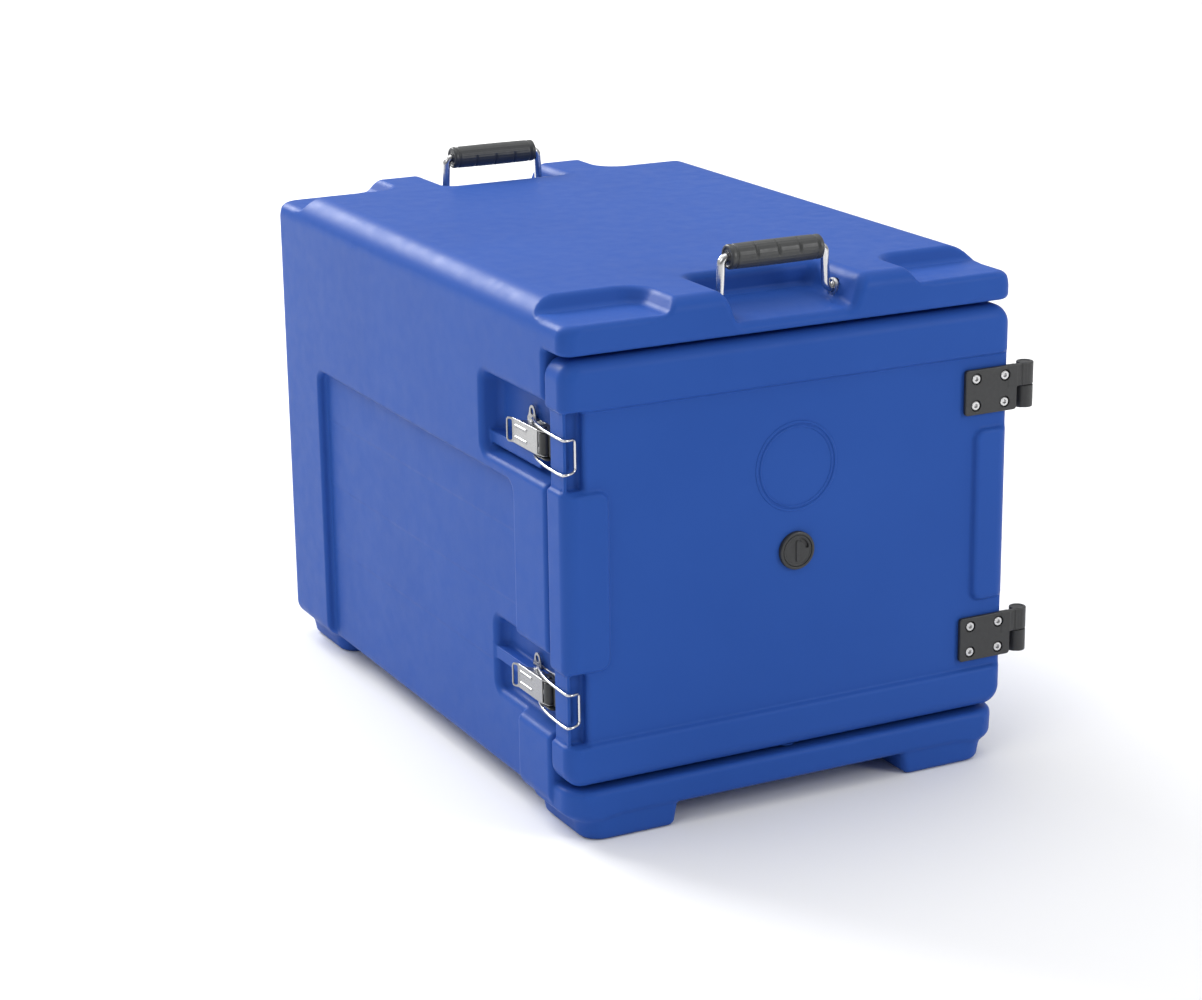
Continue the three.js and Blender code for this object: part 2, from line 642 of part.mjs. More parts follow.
function rivet({ y, z }) {
  const { head, headHeight, depth } = RIVET;
  const seat = -PLATE.front - GAP;
  return join(
    rod('x', y, z, head, seat - headHeight, seat),
    rod('x', y, z, SCREW.shank, seat - 1, depth - LATCH_BAY.floor, 8),
  );
}

// ---------------------------------------------------------------- handles
function handleWire(end) {
  const y = fromEnd(end, HANDLE.pivotY);
  const { pivotZ, gripZ, topX, footX, bend, end: tip, wire: radius } = HANDLE;
  const half = [
    [tip, y, pivotZ],
    [footX, y, pivotZ],
    [topX, y, gripZ],
  ];
  const other = half.map(([x, , z]) => [-x, y, z]).reverse();
  return wire([...half, ...other], radius, bend, 44, 10);
}

function handleGrip(end) {
  const y = fromEnd(end, HANDLE.pivotY);
  const { halfLength, radius, bore, round } = GRIP;
  const edge = { round, roundSteps: 1 };
  const sleeve = prism('x', disc(y, HANDLE.gripZ, radius, 20), -halfLength, halfLength, edge);
  return cut(sleeve, rod('x', y, HANDLE.gripZ, bore, -halfLength - 1, halfLength + 1));
}

function handleBush(side, end) {
  const ring = annulus(fromEnd(end, HANDLE.pivotY), HANDLE.pivotZ, BUSH.outer, BUSH.bore, 16, 12);
  return prism('x', ring, side * BUSH.from, side * BUSH.to);
}

// ---------------------------------------------------------------- vent
function ventHousing() {
  const { flange, tube, bore, end, x, z } = VENT;
  const { front, seat, chamfer } = VENT_FACE;
  const well = VENT_DIAL.radius + GAP;
  const back = FIELD.depth - GAP;
  const profile = [
    [bore, seat],
    [well, seat],
    [well, front],
    [flange - chamfer, front],
    [flange, front + chamfer],
    [flange, back],
    [tube, back],
    [tube, end],
    [bore, end],
  ];
  return turnedAlongY(profile, x, z, 24);
}

// turning disc with a curved slot and a raised thumb bar
function ventDial() {
  const { x, z } = VENT;
  const { radius, front, back, barHalf, barWidth, barFront } = VENT_DIAL;
  const { inner, outer, from, to } = VENT_SLOT;
  const bar = roundedRect([x - barWidth, x + barWidth], [z - barHalf, z + barHalf], barWidth * 0.9);
  const slot = outline([...arc(x, z, outer, from, to, 6), ...arc(x, z, inner, to, from, 6)]);
  return cut(
    join(rod('y', x, z, radius, front, back, 24), prism('y', bar, barFront, front + GAP)),
    prism('y', slot, front - 1, back + 1),
  );
}

function ventRing(sides, radius, from, thickness) {
  return prism('y', annulus(VENT.x, VENT.z, radius, VENT.tube + GAP, sides, 20), from, from + thickness);
}

// ---------------------------------------------------------------- assembly
add('body_shell', bodyShell(), BLUE);
add('body_foam_core', bodyFoam(), FOAM);
add('body_fill_plug', fillPlug(BODY_FILL, U), BLUE);

add('door_shell', doorShell(), BLUE);
add('door_foam_core', doorFoam(), FOAM);
add('door_fill_plug', fillPlug(DOOR_FILL, DOOR.bottom), BLUE);
add('door_gasket', prism('y', gasketRing(0), GASKET.seat, GASKET.face), RUBBER);

atHeights(HINGE_HEIGHTS, (z, place) => {
  add(`hinge_door_leaf_${place}`, doorLeaf(z, place), BLACK);
  add(`hinge_body_leaf_${place}`, bodyLeaf(z, place), BLACK);
  add(`hinge_pin_${place}`, hingePin(z), STEEL);
  spotsAt(doorScrews, place).forEach((spot, i) => {
    add(`hinge_door_screw_${place}_${i + 1}`, doorScrew(spot), STEEL);
  });
  spotsAt(bodyScrews, place).forEach((spot, i) => {
    add(`hinge_body_screw_${place}_${i + 1}`, bodyScrew(spot), STEEL);
  });
});

atHeights(LATCH_HEIGHTS, (z, place) => {
  add(`latch_plate_${place}`, latchPlate(z, place), STEEL);
  add(`latch_block_${place}`, latchBlock(z), BLACK);
  add(`latch_pin_${place}`, latchPin(z), STEEL);
  add(`latch_lever_${place}`, latchLever(z), STEEL);
  add(`latch_bail_${place}`, latchBail(z), STEEL);
  spotsAt(rivetSpots, place).forEach((spot, i) => add(`latch_rivet_${place}_${i + 1}`, rivet(spot), STEEL));
});

bothEnds((end) => {
  add(`handle_wire_${end}`, handleWire(end), STEEL);
  add(`handle_grip_${end}`, handleGrip(end), BLACK);
  bothSides((side) => {
    add(`handle_bush_${end}_${side > 0 ? 'right' : 'left'}`, handleBush(side, end), STEEL);
  });
});

const sealBack = PLUG.back + GAP + VENT_SEAL.thickness;
add('vent_housing', ventHousing(), BLACK);
add('vent_dial', ventDial(), BLACK);
add('vent_seal', ventRing(20, VENT_SEAL.radius, PLUG.back + GAP, VENT_SEAL.thickness), RUBBER);
add('vent_nut', ventRing(6, VENT_NUT.radius, sealBack + GAP, VENT_NUT.thickness), BLACK);

// the origin is on the floor, in the middle of the object's box
carrier.position.set((W - HINGE_SIDE_LIMIT) / 2, -D / 2, 0);

export default carrier;
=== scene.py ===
import json
import math
from functools import reduce

import bmesh
import bpy
import numpy as np
from mathutils import Matrix, Vector


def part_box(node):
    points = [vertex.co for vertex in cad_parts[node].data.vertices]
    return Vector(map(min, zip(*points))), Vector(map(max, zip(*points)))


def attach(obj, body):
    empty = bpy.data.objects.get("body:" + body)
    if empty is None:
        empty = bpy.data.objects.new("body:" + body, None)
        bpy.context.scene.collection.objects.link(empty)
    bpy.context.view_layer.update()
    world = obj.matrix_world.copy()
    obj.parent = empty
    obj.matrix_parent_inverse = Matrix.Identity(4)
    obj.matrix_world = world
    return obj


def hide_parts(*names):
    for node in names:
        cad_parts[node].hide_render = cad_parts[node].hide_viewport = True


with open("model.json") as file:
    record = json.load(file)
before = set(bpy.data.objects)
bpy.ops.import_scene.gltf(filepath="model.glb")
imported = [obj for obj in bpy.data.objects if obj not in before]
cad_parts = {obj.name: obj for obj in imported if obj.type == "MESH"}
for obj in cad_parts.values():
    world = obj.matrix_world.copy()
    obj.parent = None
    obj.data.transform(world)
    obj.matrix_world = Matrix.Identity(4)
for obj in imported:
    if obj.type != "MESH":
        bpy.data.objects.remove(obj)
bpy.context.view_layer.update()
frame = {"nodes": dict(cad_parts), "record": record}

# Insulated food carrier, drawn in place of the CAD frame's pieces. The shells, foam, hinge leaves, vent dial
# and the latches' plates, blocks and levers are distance fields with rounded edges. The other fittings are
# turned, bent or swept meshes.
#
# Millimetres while a piece is drawn: x from the middle of the box, y from its front face, z from the floor.

MM = 0.001


def cad(node):
    """A CAD node's box while drawing: three (low, high) spans in millimetres."""
    low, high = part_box(node)
    return [((a / MM) - o, (b / MM) - o) for a, b, o in zip(low, high, ORIGIN)]


def middle(span):
    return (span[0] + span[1]) / 2


def about(mid, half):
    """A span of a given half width about a place."""
    return (mid - half, mid + half)


_low, _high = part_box("body_shell")
ORIGIN = ((_low.x + _high.x) / 2 / MM, _low.y / MM, 0.0)

BODY = cad("body_shell")
DOOR = cad("door_shell")
W = BODY[0][1]
D = BODY[1][1]
H = BODY[2][1]


# ---- distance fields
# A field is a function of p = (x, y, z), negative inside.

def block(xs, ys, zs, r=0.0):
    """A block with rounded edges. A span of None runs on for ever."""
    spans = [(i, middle(s), (s[1] - s[0]) / 2 - r) for i, s in enumerate((xs, ys, zs)) if s]

    def field(p):
        q = [np.abs(p[i] - mid) - half for i, mid, half in spans]
        outside = np.sqrt(sum(np.maximum(v, 0.0) ** 2 for v in q))
        return outside + np.minimum(reduce(np.maximum, q), 0.0) - r
    return field


def rounded_rect(u, v, us, vs, radii):
    """Distance to a rectangle with corner radii low left, low right, high right, high left."""
    mu, mv = middle(us), middle(vs)
    low = np.where(u > mu, radii[1], radii[0])
    high = np.where(u > mu, radii[2], radii[3])
    r = np.where(v > mv, high, low)
    qu = np.abs(u - mu) - (us[1] - us[0]) / 2 + r
    qv = np.abs(v - mv) - (vs[1] - vs[0]) / 2 + r
    return np.hypot(np.maximum(qu, 0.0), np.maximum(qv, 0.0)) + np.minimum(np.maximum(qu, qv), 0.0) - r


def extruded(flat, axis, span, r=0.0):
    """A flat field, given p, run along an axis between two places, with its end edges rounded."""
    mid, half = middle(span), (span[1] - span[0]) / 2

    def field(p):
        a = flat(p) + r
        b = np.abs(p[axis] - mid) - half + r
        return np.hypot(np.maximum(a, 0.0), np.maximum(b, 0.0)) + np.minimum(np.maximum(a, b), 0.0) - r
    return field


def plate(axis, us, vs, radii, span, r=0.0):
    """A plate with rounded corners, across an axis."""
    i, j = [k for k in range(3) if k != axis]
    radii = radii if isinstance(radii, tuple) else (radii,) * 4
    return extruded(lambda p: rounded_rect(p[i], p[j], us, vs, radii), axis, span, r)


def rod(axis, u, v, radius, span, r=0.0):
    i, j = [k for k in range(3) if k != axis]
    return extruded(lambda p: np.hypot(p[i] - u, p[j] - v) - radius, axis, span, r)


def smooth_max(a, b, r):
    """The larger of two distances, with an edge of radius r between them."""
    if np.isscalar(r) and r <= 0:
        return np.maximum(a, b)
    return np.minimum(-r, np.maximum(a, b)) + np.hypot(np.maximum(a + r, 0.0), np.maximum(b + r, 0.0))


def of(r, p):
    return r(p) if callable(r) else r


def cut(a, b, r=0.0):
    """a without b, its new edges rounded by r."""
    return lambda p: smooth_max(a(p), -b(p), of(r, p))


def join(a, b, r=0.0):
    """a and b together, with a fillet of radius r where they meet."""
    return lambda p: -smooth_max(-a(p), -b(p), of(r, p))


def common(a, b, r=0.0):
    return lambda p: smooth_max(a(p), b(p), of(r, p))


def grow(a, by):
    return lambda p: a(p) - by


# ---- meshing
def grid_lines(span, spots, fine, coarse, reach, margin=4.0):
    """Places along an axis: close together near the spots, and far apart between them."""
    spots = np.array(sorted(spots))
    lines = [span[0] - margin]
    while lines[-1] < span[1] + margin:
        nearest = np.abs(spots - lines[-1]).min()
        ahead = spots[spots > lines[-1]]
        step = min(coarse, fine + 0.3 * max(0.0, nearest - reach))
        if len(ahead):
            step = min(step, max(fine, ahead[0] - reach - lines[-1]))
        lines.append(lines[-1] + step)
    return np.array(lines)


def surface_net(field, xs, ys, zs):
    """A field's zero surface: one vertex in each crossed cell of a grid, then pulled onto the surface."""
    values = field((xs[:, None, None], ys[None, :, None], zs[None, None, :]))
    values = np.broadcast_to(values, (len(xs), len(ys), len(zs)))
    inside = values < 0
    axes = (xs, ys, zs)
    shape = tuple(n - 1 for n in values.shape)
    total = np.zeros(shape + (3,))
    count = np.zeros(shape)
    crossings = []
    for axis in range(3):
        low = [slice(None)] * 3
        high = [slice(None)] * 3
        low[axis] = slice(None, -1)
        high[axis] = slice(1, None)
        low, high = tuple(low), tuple(high)
        index = np.argwhere(inside[low] != inside[high])
        crossings.append((axis, index))
        a = values[low][tuple(index.T)]
        b = values[high][tuple(index.T)]
        t = a / (a - b)
        point = np.stack([axes[k][index[:, k]] for k in range(3)], 1)
        line = axes[axis]
        point[:, axis] += t * (line[index[:, axis] + 1] - line[index[:, axis]])
        others = [k for k in range(3) if k != axis]
        for du in (0, 1):
            for dv in (0, 1):
                cell = index.copy()
                cell[:, others[0]] -= du
                cell[:, others[1]] -= dv
                ok = ((cell >= 0) & (cell < np.array(shape))).all(1)
                np.add.at(total, tuple(cell[ok].T), point[ok])
                np.add.at(count, tuple(cell[ok].T), 1)
    active = count > 0
    number = np.full(shape, -1)
    number[active] = np.arange(active.sum())
    points = total[active] / count[active][:, None]
    faces = []
    for axis, index in crossings:
        u, v = [(1, 2), (2, 0), (0, 1)][axis]
        ok = (index[:, u] > 0) & (index[:, v] > 0) & (index[:, u] < shape[u]) & (index[:, v] < shape[v])
        index = index[ok]
        corner = []
        for du, dv in ((1, 1), (0, 1), (0, 0), (1, 0)):
            cell = index.copy()
            cell[:, u] -= du
            cell[:, v] -= dv
            corner.append(number[tuple(cell.T)])
        quad = np.stack(corner, 1)
        outward = inside[tuple(index.T)]
        quad[~outward] = quad[~outward][:, ::-1]
        faces.append(quad)
    return pulled(field, points), np.concatenate(faces)


def gradient(field, points, step=0.05):
    """The field and its slope at the points."""
    at = tuple(points.T)
    here = field(at)
    slope = np.empty_like(points)
    for k in range(3):
        there = [a.copy() for a in at]
        there[k] = there[k] + step
        slope[:, k] = (field(tuple(there)) - here) / step
    return here, slope


def pulled(field, points, rounds=4, reach=2.0):
    """The points moved along the field's slope onto its zero surface."""
    for _ in range(rounds):
        here, slope = gradient(field, points)
        size = np.maximum((slope ** 2).sum(1), 0.05)
        points = points - (np.clip(here, -reach, reach) / size)[:, None] * slope
    return points


def new_object(name, points, faces, smooth=True):
    """A mesh object from millimetre points, in metres in the frame."""
    mesh = bpy.data.meshes.new(name)
    place = (np.asarray(points, float) + np.array(ORIGIN)) * MM
    mesh.from_pydata(place.tolist(), [], [list(map(int, f)) for f in faces])
    mesh.update()
    mesh.validate()
    if smooth:
        mesh.shade_smooth()
    piece = bpy.data.objects.new(name, mesh)
    bpy.context.scene.collection.objects.link(piece)
    return piece


def finish(piece, slot, body, *nodes, look=None):
    """The piece's material, the body it rides on, and the CAD nodes that it replaces."""
    piece.data.materials.append(look or LOOKS[slot])
    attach(piece, body)
    if nodes:
        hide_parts(*nodes)


def decimated(piece, ratio):
    """Fewer faces where the surface is flat."""
    piece.modifiers.new("fewer", "DECIMATE").ratio = ratio
    graph = bpy.context.evaluated_depsgraph_get()
    mesh = bpy.data.meshes.new_from_object(piece.evaluated_get(graph))
    piece.modifiers.clear()
    old = piece.data
    piece.data = mesh
    mesh.name = piece.name
    bpy.data.meshes.remove(old)


def drawn_points(mesh):
    points = np.empty(len(mesh.vertices) * 3)
    mesh.vertices.foreach_get("co", points)
    return points.reshape(-1, 3) / MM - np.array(ORIGIN)


def moulded(name, field, box, spots, fine, coarse=8.0, reach=5.0, ratio=1.0):
    """The surface of a field as a mesh, with the field's own slopes as its normals."""
    lines = [grid_lines(box[k], spots[k], fine, coarse, reach) for k in range(3)]
    points, faces = surface_net(field, *lines)
    piece = new_object(name, points, faces)
    if ratio < 1:
        decimated(piece, ratio)
    mesh = piece.data
    points = pulled(field, drawn_points(mesh))
    mesh.vertices.foreach_set("co", ((points + np.array(ORIGIN)) * MM).ravel())
    mesh.update()
    slope = gradient(field, points)[1]
    slope /= np.maximum(np.linalg.norm(slope, axis=1), 1e-6)[:, None]
    mesh.shade_smooth()
    mesh.normals_split_custom_set_from_vertices(slope.tolist())
    return piece


# ---- body shell
UNDERSIDE = 21.0
EDGE = 14.0  # rounding of the box's front and back edges
RIM_Y = 37.0  # the plane that the door closes against
DOORWAY = (46.5, 426.5)
FAR = 60.0  # how far a cutting field runs past the box


def both_ends(field):
    """A field at the front right, repeated in the other three corners."""
    return lambda p: field((np.abs(p[0]), D / 2 - np.abs(p[1] - D / 2), p[2]))


SILL = {"inset": 3.0, "corner": 25.0, "round": 5.0}


def body_block():
    """The box, and the sill under the door, whose ends stand in a little from the sides."""
    box = plate(1, (-W, W), (UNDERSIDE, H), (15, 15, 28, 28), (0, D), EDGE)
    doorway = block((-W - FAR, W + FAR), (-FAR, RIM_Y), (-FAR, DOORWAY[1]), 3)
    half = W - SILL["inset"]
    radii = (SILL["corner"], SILL["corner"], 0, 0)
    sill = plate(2, (-half, half), (0, 2 * RIM_Y), radii, (UNDERSIDE, DOORWAY[0]), SILL["round"])
    return join(cut(box, doorway, 5), sill, 1.2)


SIDE_PANEL = {"along": (102, 546), "top": 298, "depth": 8}


def side_panel():
    radii = (0, 0, 12, 12)
    spans = SIDE_PANEL["along"], (-FAR, SIDE_PANEL["top"])
    panel = plate(0, *spans, radii, (W - SIDE_PANEL["depth"], W + FAR), 4)
    return lambda p: panel((np.abs(p[0]), p[1], p[2]))


LATCH_BAY = {"floor": 200, "back": 160, "half": 34, "rise": 4.5, "radius": 9, "lean": 0.3}


def latch_bay(centre):
    """A recess in the left side, open to the door, with leaning walls."""
    along = (-FAR, LATCH_BAY["back"])
    upright = about(centre + LATCH_BAY["rise"], LATCH_BAY["half"])
    radius = LATCH_BAY["radius"]
    halfway = (W + LATCH_BAY["floor"]) / 2

    def flat(p):
        lean = LATCH_BAY["lean"] * (p[0] + halfway)
        return rounded_rect(p[1], p[2], along, upright, (0, radius, radius, 0)) + lean
    return extruded(flat, 0, (-W - FAR, -LATCH_BAY["floor"]), 5)


SEAT = {"inner": 113.0, "length": 67, "depth": 13, "corner": 26, "lean": 0.65}


def seat_plan(p):
    spans = (SEAT["inner"], W + FAR), (-FAR, SEAT["length"])
    return rounded_rect(p[0], p[1], *spans, (0, 0, 0, SEAT["corner"])) + SEAT["lean"] * (H - p[2])


def seat_rounding(p):
    """Tight along the seat's walls, and wider at its outer edges."""
    return np.clip(4 - 0.3 * (seat_plan(p) + 8), 3.5, 6)


BAY = {"half": 55, "lean": 0.38, "length": 77, "corner": 10, "floor": 436, "fall": 7.5}


def grip_bay(p):
    side = np.abs(p[0]) - BAY["half"] - BAY["lean"] * (p[2] - BAY["floor"])
    plan = smooth_max(side, p[1] - BAY["length"], BAY["corner"])
    floor = BAY["floor"] + BAY["fall"] * np.clip(p[1] / BAY["length"], 0, 1) - p[2]
    return smooth_max(plan, floor, 5)


FOOT = {"middle": 160, "half": 46.5, "lean": 0.2, "along": (2.0, 98), "outer": 20, "inner": 6, "edge": 5}


def foot(p):
    """Narrower at the floor, with a wide outer front corner."""
    across = np.abs(p[0] - FOOT["middle"]) - FOOT["half"] + FOOT["lean"] * (UNDERSIDE - p[2])
    along = np.abs(p[1] - middle(FOOT["along"])) - (FOOT["along"][1] - FOOT["along"][0]) / 2
    corner = np.where(p[0] > FOOT["middle"], FOOT["outer"], FOOT["inner"])
    plan = smooth_max(across, along, corner)
    height = UNDERSIDE * 2
    return smooth_max(plan, np.abs(p[2] - height / 2) - height / 2, FOOT["edge"])


def foot_fillet(p):
    """A tight fillet between the feet, and a wide one up the sides."""
    return np.clip((np.abs(p[0]) - FOOT["middle"]) * 0.2, 2, 9)


CAVITY = {"half": 168, "upright": (88, 382), "back": 598, "radius": 14}
RUNNER = {"count": 4, "first": 132, "pitch": 66, "reach": 12, "height": 12, "along": (62, 590)}


def cavity():
    across = (-CAVITY["half"], CAVITY["half"])
    return block(across, (-FAR, CAVITY["back"]), CAVITY["upright"], CAVITY["radius"])


def runners():
    """Four ledges on each side of the cavity for the pans' rims."""
    half = RUNNER["height"] / 2
    ledge = block((CAVITY["half"] - RUNNER["reach"], W), RUNNER["along"], (-half, half), 3)

    def field(p):
        z = p[2] - RUNNER["first"] + half
        nearest = np.clip(np.round(z / RUNNER["pitch"]), 0, RUNNER["count"] - 1)
        return ledge((np.abs(p[0]), p[1], z - nearest * RUNNER["pitch"]))
    return field


LATCHES = {place: middle(cad(f"latch_lever_{place}")[2]) for place in ("upper", "lower")}
BUSH = cad("handle_bush_front_right")
BUSH_GAP = 0.3  # between a handle's bush and its hole


def body_field():
    shape = body_block()
    shape = cut(shape, side_panel(), 5)
    for centre in LATCHES.values():
        shape = cut(shape, latch_bay(centre), 5)
    seat = extruded(seat_plan, 2, (H - SEAT["depth"], H + FAR), 4)
    shape = cut(shape, both_ends(seat), both_ends(seat_rounding))
    shape = cut(shape, both_ends(grip_bay), 8)
    shape = join(shape, both_ends(foot), both_ends(foot_fillet))
    shape = cut(shape, cavity(), 4)
    shape = join(shape, common(runners(), block((-W + 9, W - 9), None, None)), 2)
    radius = (BUSH[1][1] - BUSH[1][0]) / 2 + BUSH_GAP
    bore = rod(0, middle(BUSH[1]), middle(BUSH[2]), radius, (0, BUSH[0][1] + BUSH_GAP))
    shape = cut(shape, both_ends(bore), 0.6)
    return common(shape, block((-W, W), (0, D), (0, H)))


# ---- door shell
DOOR_CORNER = 18.0
DOOR_ROUND = 13.0
FIELD = {"upright": (89, 379), "depth": 5}
LEFT_PILASTER = ((-W - FAR, -178), (154, 310))
RIGHT_PILASTER = ((184, W + FAR), (154, 312))
CHANNEL = {"side": 216, "inner": 199, "floor": 14.5}
KEEPER = {"inner": 213.4, "crest": 8, "round": 1.2}
PLUG = {"half": 160, "upright": (96, 374), "radius": 22, "round": 6}
GASKET = cad("door_gasket")
GASKET_CORNER = 25.0
GASKET_WIDTH = 9.0
VENT = cad("vent_housing")
VENT_SPOT = (middle(VENT[0]), middle(VENT[2]))
VENT_HOLE = 12.1
RING = {"z": 305, "outer": 40, "inner": 34.5, "height": 0.8}


def door_slab():
    slab = plate(1, (-W, W), DOOR[2], DOOR_CORNER, (0, 3 * DOOR_ROUND + RIM_Y), DOOR_ROUND)
    return common(slab, block(None, (-FAR, RIM_Y - 2.5), None), 3)


def door_field():
    """The sunk middle of the face, with a raised pilaster at each side."""
    def flat(p):
        shape = np.abs(p[2] - middle(FIELD["upright"])) - (FIELD["upright"][1] - FIELD["upright"][0]) / 2
        for across, upright in (LEFT_PILASTER, RIGHT_PILASTER):
            shape = smooth_max(shape + 0 * p[0], -rounded_rect(p[0], p[2], across, upright, (10,) * 4), 6)
        return shape
    return extruded(flat, 1, (-FAR, FIELD["depth"]), 2.5)


def channel(upright):
    """The relief that a latch's bail drops into."""
    floor = block((-W - FAR, -CHANNEL["inner"]), (-FAR, CHANNEL["floor"]), upright, 3)
    side = block((-W - FAR, -CHANNEL["side"]), None, upright, 2)
    return join(floor, side)


def keeper(upright):
    """The low upright ridge that the bail hooks behind."""
    ridge = block((-CHANNEL["side"], -KEEPER["inner"]), (KEEPER["crest"], RIM_Y - 5), None, KEEPER["round"])
    return common(ridge, block(None, None, upright))


def gasket_groove():
    half = GASKET_WIDTH / 2

    def flat(p):
        outer = rounded_rect(p[0], p[2], GASKET[0], GASKET[2], (GASKET_CORNER,) * 4)
        return np.abs(outer + half) - half - 0.3
    return extruded(flat, 1, (GASKET[1][0] - 0.3, RIM_Y + FAR), 0.8)


def door_shape():
    shape = cut(door_slab(), door_field(), 4)
    top = (LEFT_PILASTER[1][1] + 2, FIELD["upright"][1])
    bottom = (FIELD["upright"][0], LEFT_PILASTER[1][0] - 2)
    for upright in (top, bottom):
        shape = cut(shape, channel(upright), 4)
        shape = join(shape, keeper(upright), 1.5)
    back = DOOR[1][1]
    across, upright = (-PLUG["half"], PLUG["half"]), PLUG["upright"]
    plug = plate(1, across, upright, PLUG["radius"], (RIM_Y / 2, back), PLUG["round"])
    shape = join(shape, plug, 3)
    shape = cut(shape, gasket_groove(), 0.8)
    hole = rod(1, *VENT_SPOT, VENT_HOLE, (-FAR, back + FAR))
    return cut(shape, hole, 0.5)


# ---- materials
def set_range(node, *numbers):
    """A Map Range node's old low and high, then its new low and high."""
    for name, number in zip(("From Min", "From Max", "To Min", "To Max"), numbers):
        node.inputs[name].default_value = number


class Nodes:
    """A material's node tree, written as short calls."""

    def __init__(self, name):
        self.material = bpy.data.materials.new(name)
        self.material.use_nodes = True
        self.tree = self.material.node_tree
        self.shader = self.tree.nodes["Principled BSDF"]
        self.place = self.tree.nodes.new("ShaderNodeTexCoord").outputs["Object"]

    def node(self, kind, **inputs):
        node = self.tree.nodes.new("ShaderNode" + kind)
        for key, value in inputs.items():
            self.put(node, key, value)
        return node

    def put(self, node, key, value):
        socket = node.inputs[key.replace("_", " ")] if isinstance(key, str) else node.inputs[key]
        if isinstance(value, bpy.types.NodeSocket):
            self.tree.links.new(value, socket)
        else:
            socket.default_value = value

    def noise(self, scale, detail=3.0, roughness=0.5, stretch=None):
        place = self.place
        if stretch:
            mapping = self.node("Mapping", Vector=place)
            mapping.inputs["Scale"].default_value = stretch
            place = mapping.outputs["Vector"]
        texture = self.node("TexNoise", Vector=place, Scale=scale, Detail=detail, Roughness=roughness)
        return texture.outputs["Fac"]

    def spread(self, value, low, high, new_low, new_high):
        node = self.node("MapRange", Value=value)
        set_range(node, low, high, new_low, new_high)
        return node.outputs["Result"]

    def mix(self, factor, first, second):
        node = self.node("Mix")
        node.data_type = "RGBA"
        for index, value in ((0, factor), (6, first), (7, second)):
            self.put(node, index, value)
        return node.outputs[2]

    def bump(self, height, distance, strength=1.0, below=None):
        node = self.node("Bump", Height=height, Distance=distance, Strength=strength)
        if below is not None:
            self.put(node, "Normal", below)
        return node.outputs["Normal"]

    def shade(self, **inputs):
        for key, value in inputs.items():
            self.put(self.shader, key, value)
        return self.material


def rgb(red, green, blue):
    return (red, green, blue, 1.0)


def polyethylene():
    """Rotationally moulded polyethylene: satin, a little wavy, with a fine orange-peel skin."""
    n = Nodes("moulded_polyethylene_blue")
    cloud = n.spread(n.noise(6.0, 3.0), 0.3, 0.7, 0.0, 1.0)
    color = n.mix(cloud, rgb(0.0215, 0.077, 0.335), rgb(0.024, 0.083, 0.352))
    wave = n.bump(n.noise(9.0, 1.0), 0.003, 0.14)
    peel = n.bump(n.noise(900.0, 2.0), 0.00012, 0.5, wave)
    rough = n.spread(n.noise(60.0, 4.0), 0.3, 0.7, 0.36, 0.46)
    return n.shade(Base_Color=color, Roughness=rough, Normal=peel, IOR=1.16)


def black_plastic(name, patch, dark, pale, grain, wear, smoothest):
    """Black plastic: a fine grain, and gloss that varies a little. The grain is (scale, depth, strength)."""
    n = Nodes(name)
    color = n.mix(n.noise(patch, 2.0), rgb(*dark), rgb(*pale))
    skin = n.bump(n.noise(grain[0], 2.0), grain[1], grain[2])
    rough = n.spread(n.noise(wear, 3.0), 0.3, 0.7, smoothest, smoothest + 0.12)
    return n.shade(Base_Color=color, Roughness=rough, Normal=skin, IOR=1.5)


def steel(name, tone, rough, stretch):
    """Bright steel with fine drawn lines along one direction."""
    n = Nodes(name)
    lines = n.noise(60.0, 4.0, 0.6, stretch)
    color = n.mix(lines, rgb(tone * 0.86, tone * 0.86, tone * 0.87), rgb(tone, tone, tone * 1.01))
    value = n.spread(lines, 0.3, 0.7, rough - 0.07, rough + 0.07)
    normal = n.bump(lines, 0.00003, 0.4)
    return n.shade(Base_Color=color, Roughness=value, Normal=normal, Metallic=1.0)


def foam():
    n = Nodes("insulating_foam")
    cells = n.node("TexVoronoi", Vector=n.place, Scale=900.0).outputs["Distance"]
    color = n.mix(cells, rgb(0.62, 0.5, 0.28), rgb(0.76, 0.66, 0.42))
    return n.shade(Base_Color=color, Roughness=0.95, Normal=n.bump(cells, 0.0004, 0.8))


def rubber():
    n = Nodes("seal_rubber")
    color = n.mix(n.noise(80.0), rgb(0.022, 0.022, 0.024), rgb(0.034, 0.034, 0.036))
    return n.shade(Base_Color=color, Roughness=0.75, Normal=n.bump(n.noise(1500.0), 0.0001, 0.5))


LOOKS = {
    "moulded_polyethylene_blue": polyethylene(),
    "black_nylon": black_plastic(
        "black_nylon", 300.0, (0.016, 0.017, 0.018), (0.028, 0.029, 0.031),
        (2600.0, 0.00008, 0.6), 500.0, 0.38),
    "black_grip": black_plastic(
        "black_grip", 260.0, (0.03, 0.0315, 0.032), (0.044, 0.046, 0.047),
        (1900.0, 0.0001, 0.5), 140.0, 0.36),
    "bright_steel": steel("bright_steel", 0.6, 0.26, (40.0, 40.0, 4.0)),
    "stainless_sheet": steel("stainless_sheet", 0.36, 0.3, (40.0, 3.0, 40.0)),
    "spring_wire": steel("spring_wire", 0.66, 0.2, (30.0, 30.0, 30.0)),
    "insulating_foam": foam(),
    "seal_rubber": rubber(),
}
# Painted shade: the latch pins are bright steel, but this near-black steel stands in for the shadow in the
# gap between the lever's cheeks.
PIN_PAINTED_SHADE_STEEL = steel("steel_darkened_as_painted_shade", 0.07, 0.38, (40.0, 40.0, 4.0))

for entry in frame["record"]["subparts"]:
    mesh = frame["nodes"][entry["node"]].data
    mesh.materials.clear()
    mesh.materials.append(LOOKS[entry["material_slot"]])


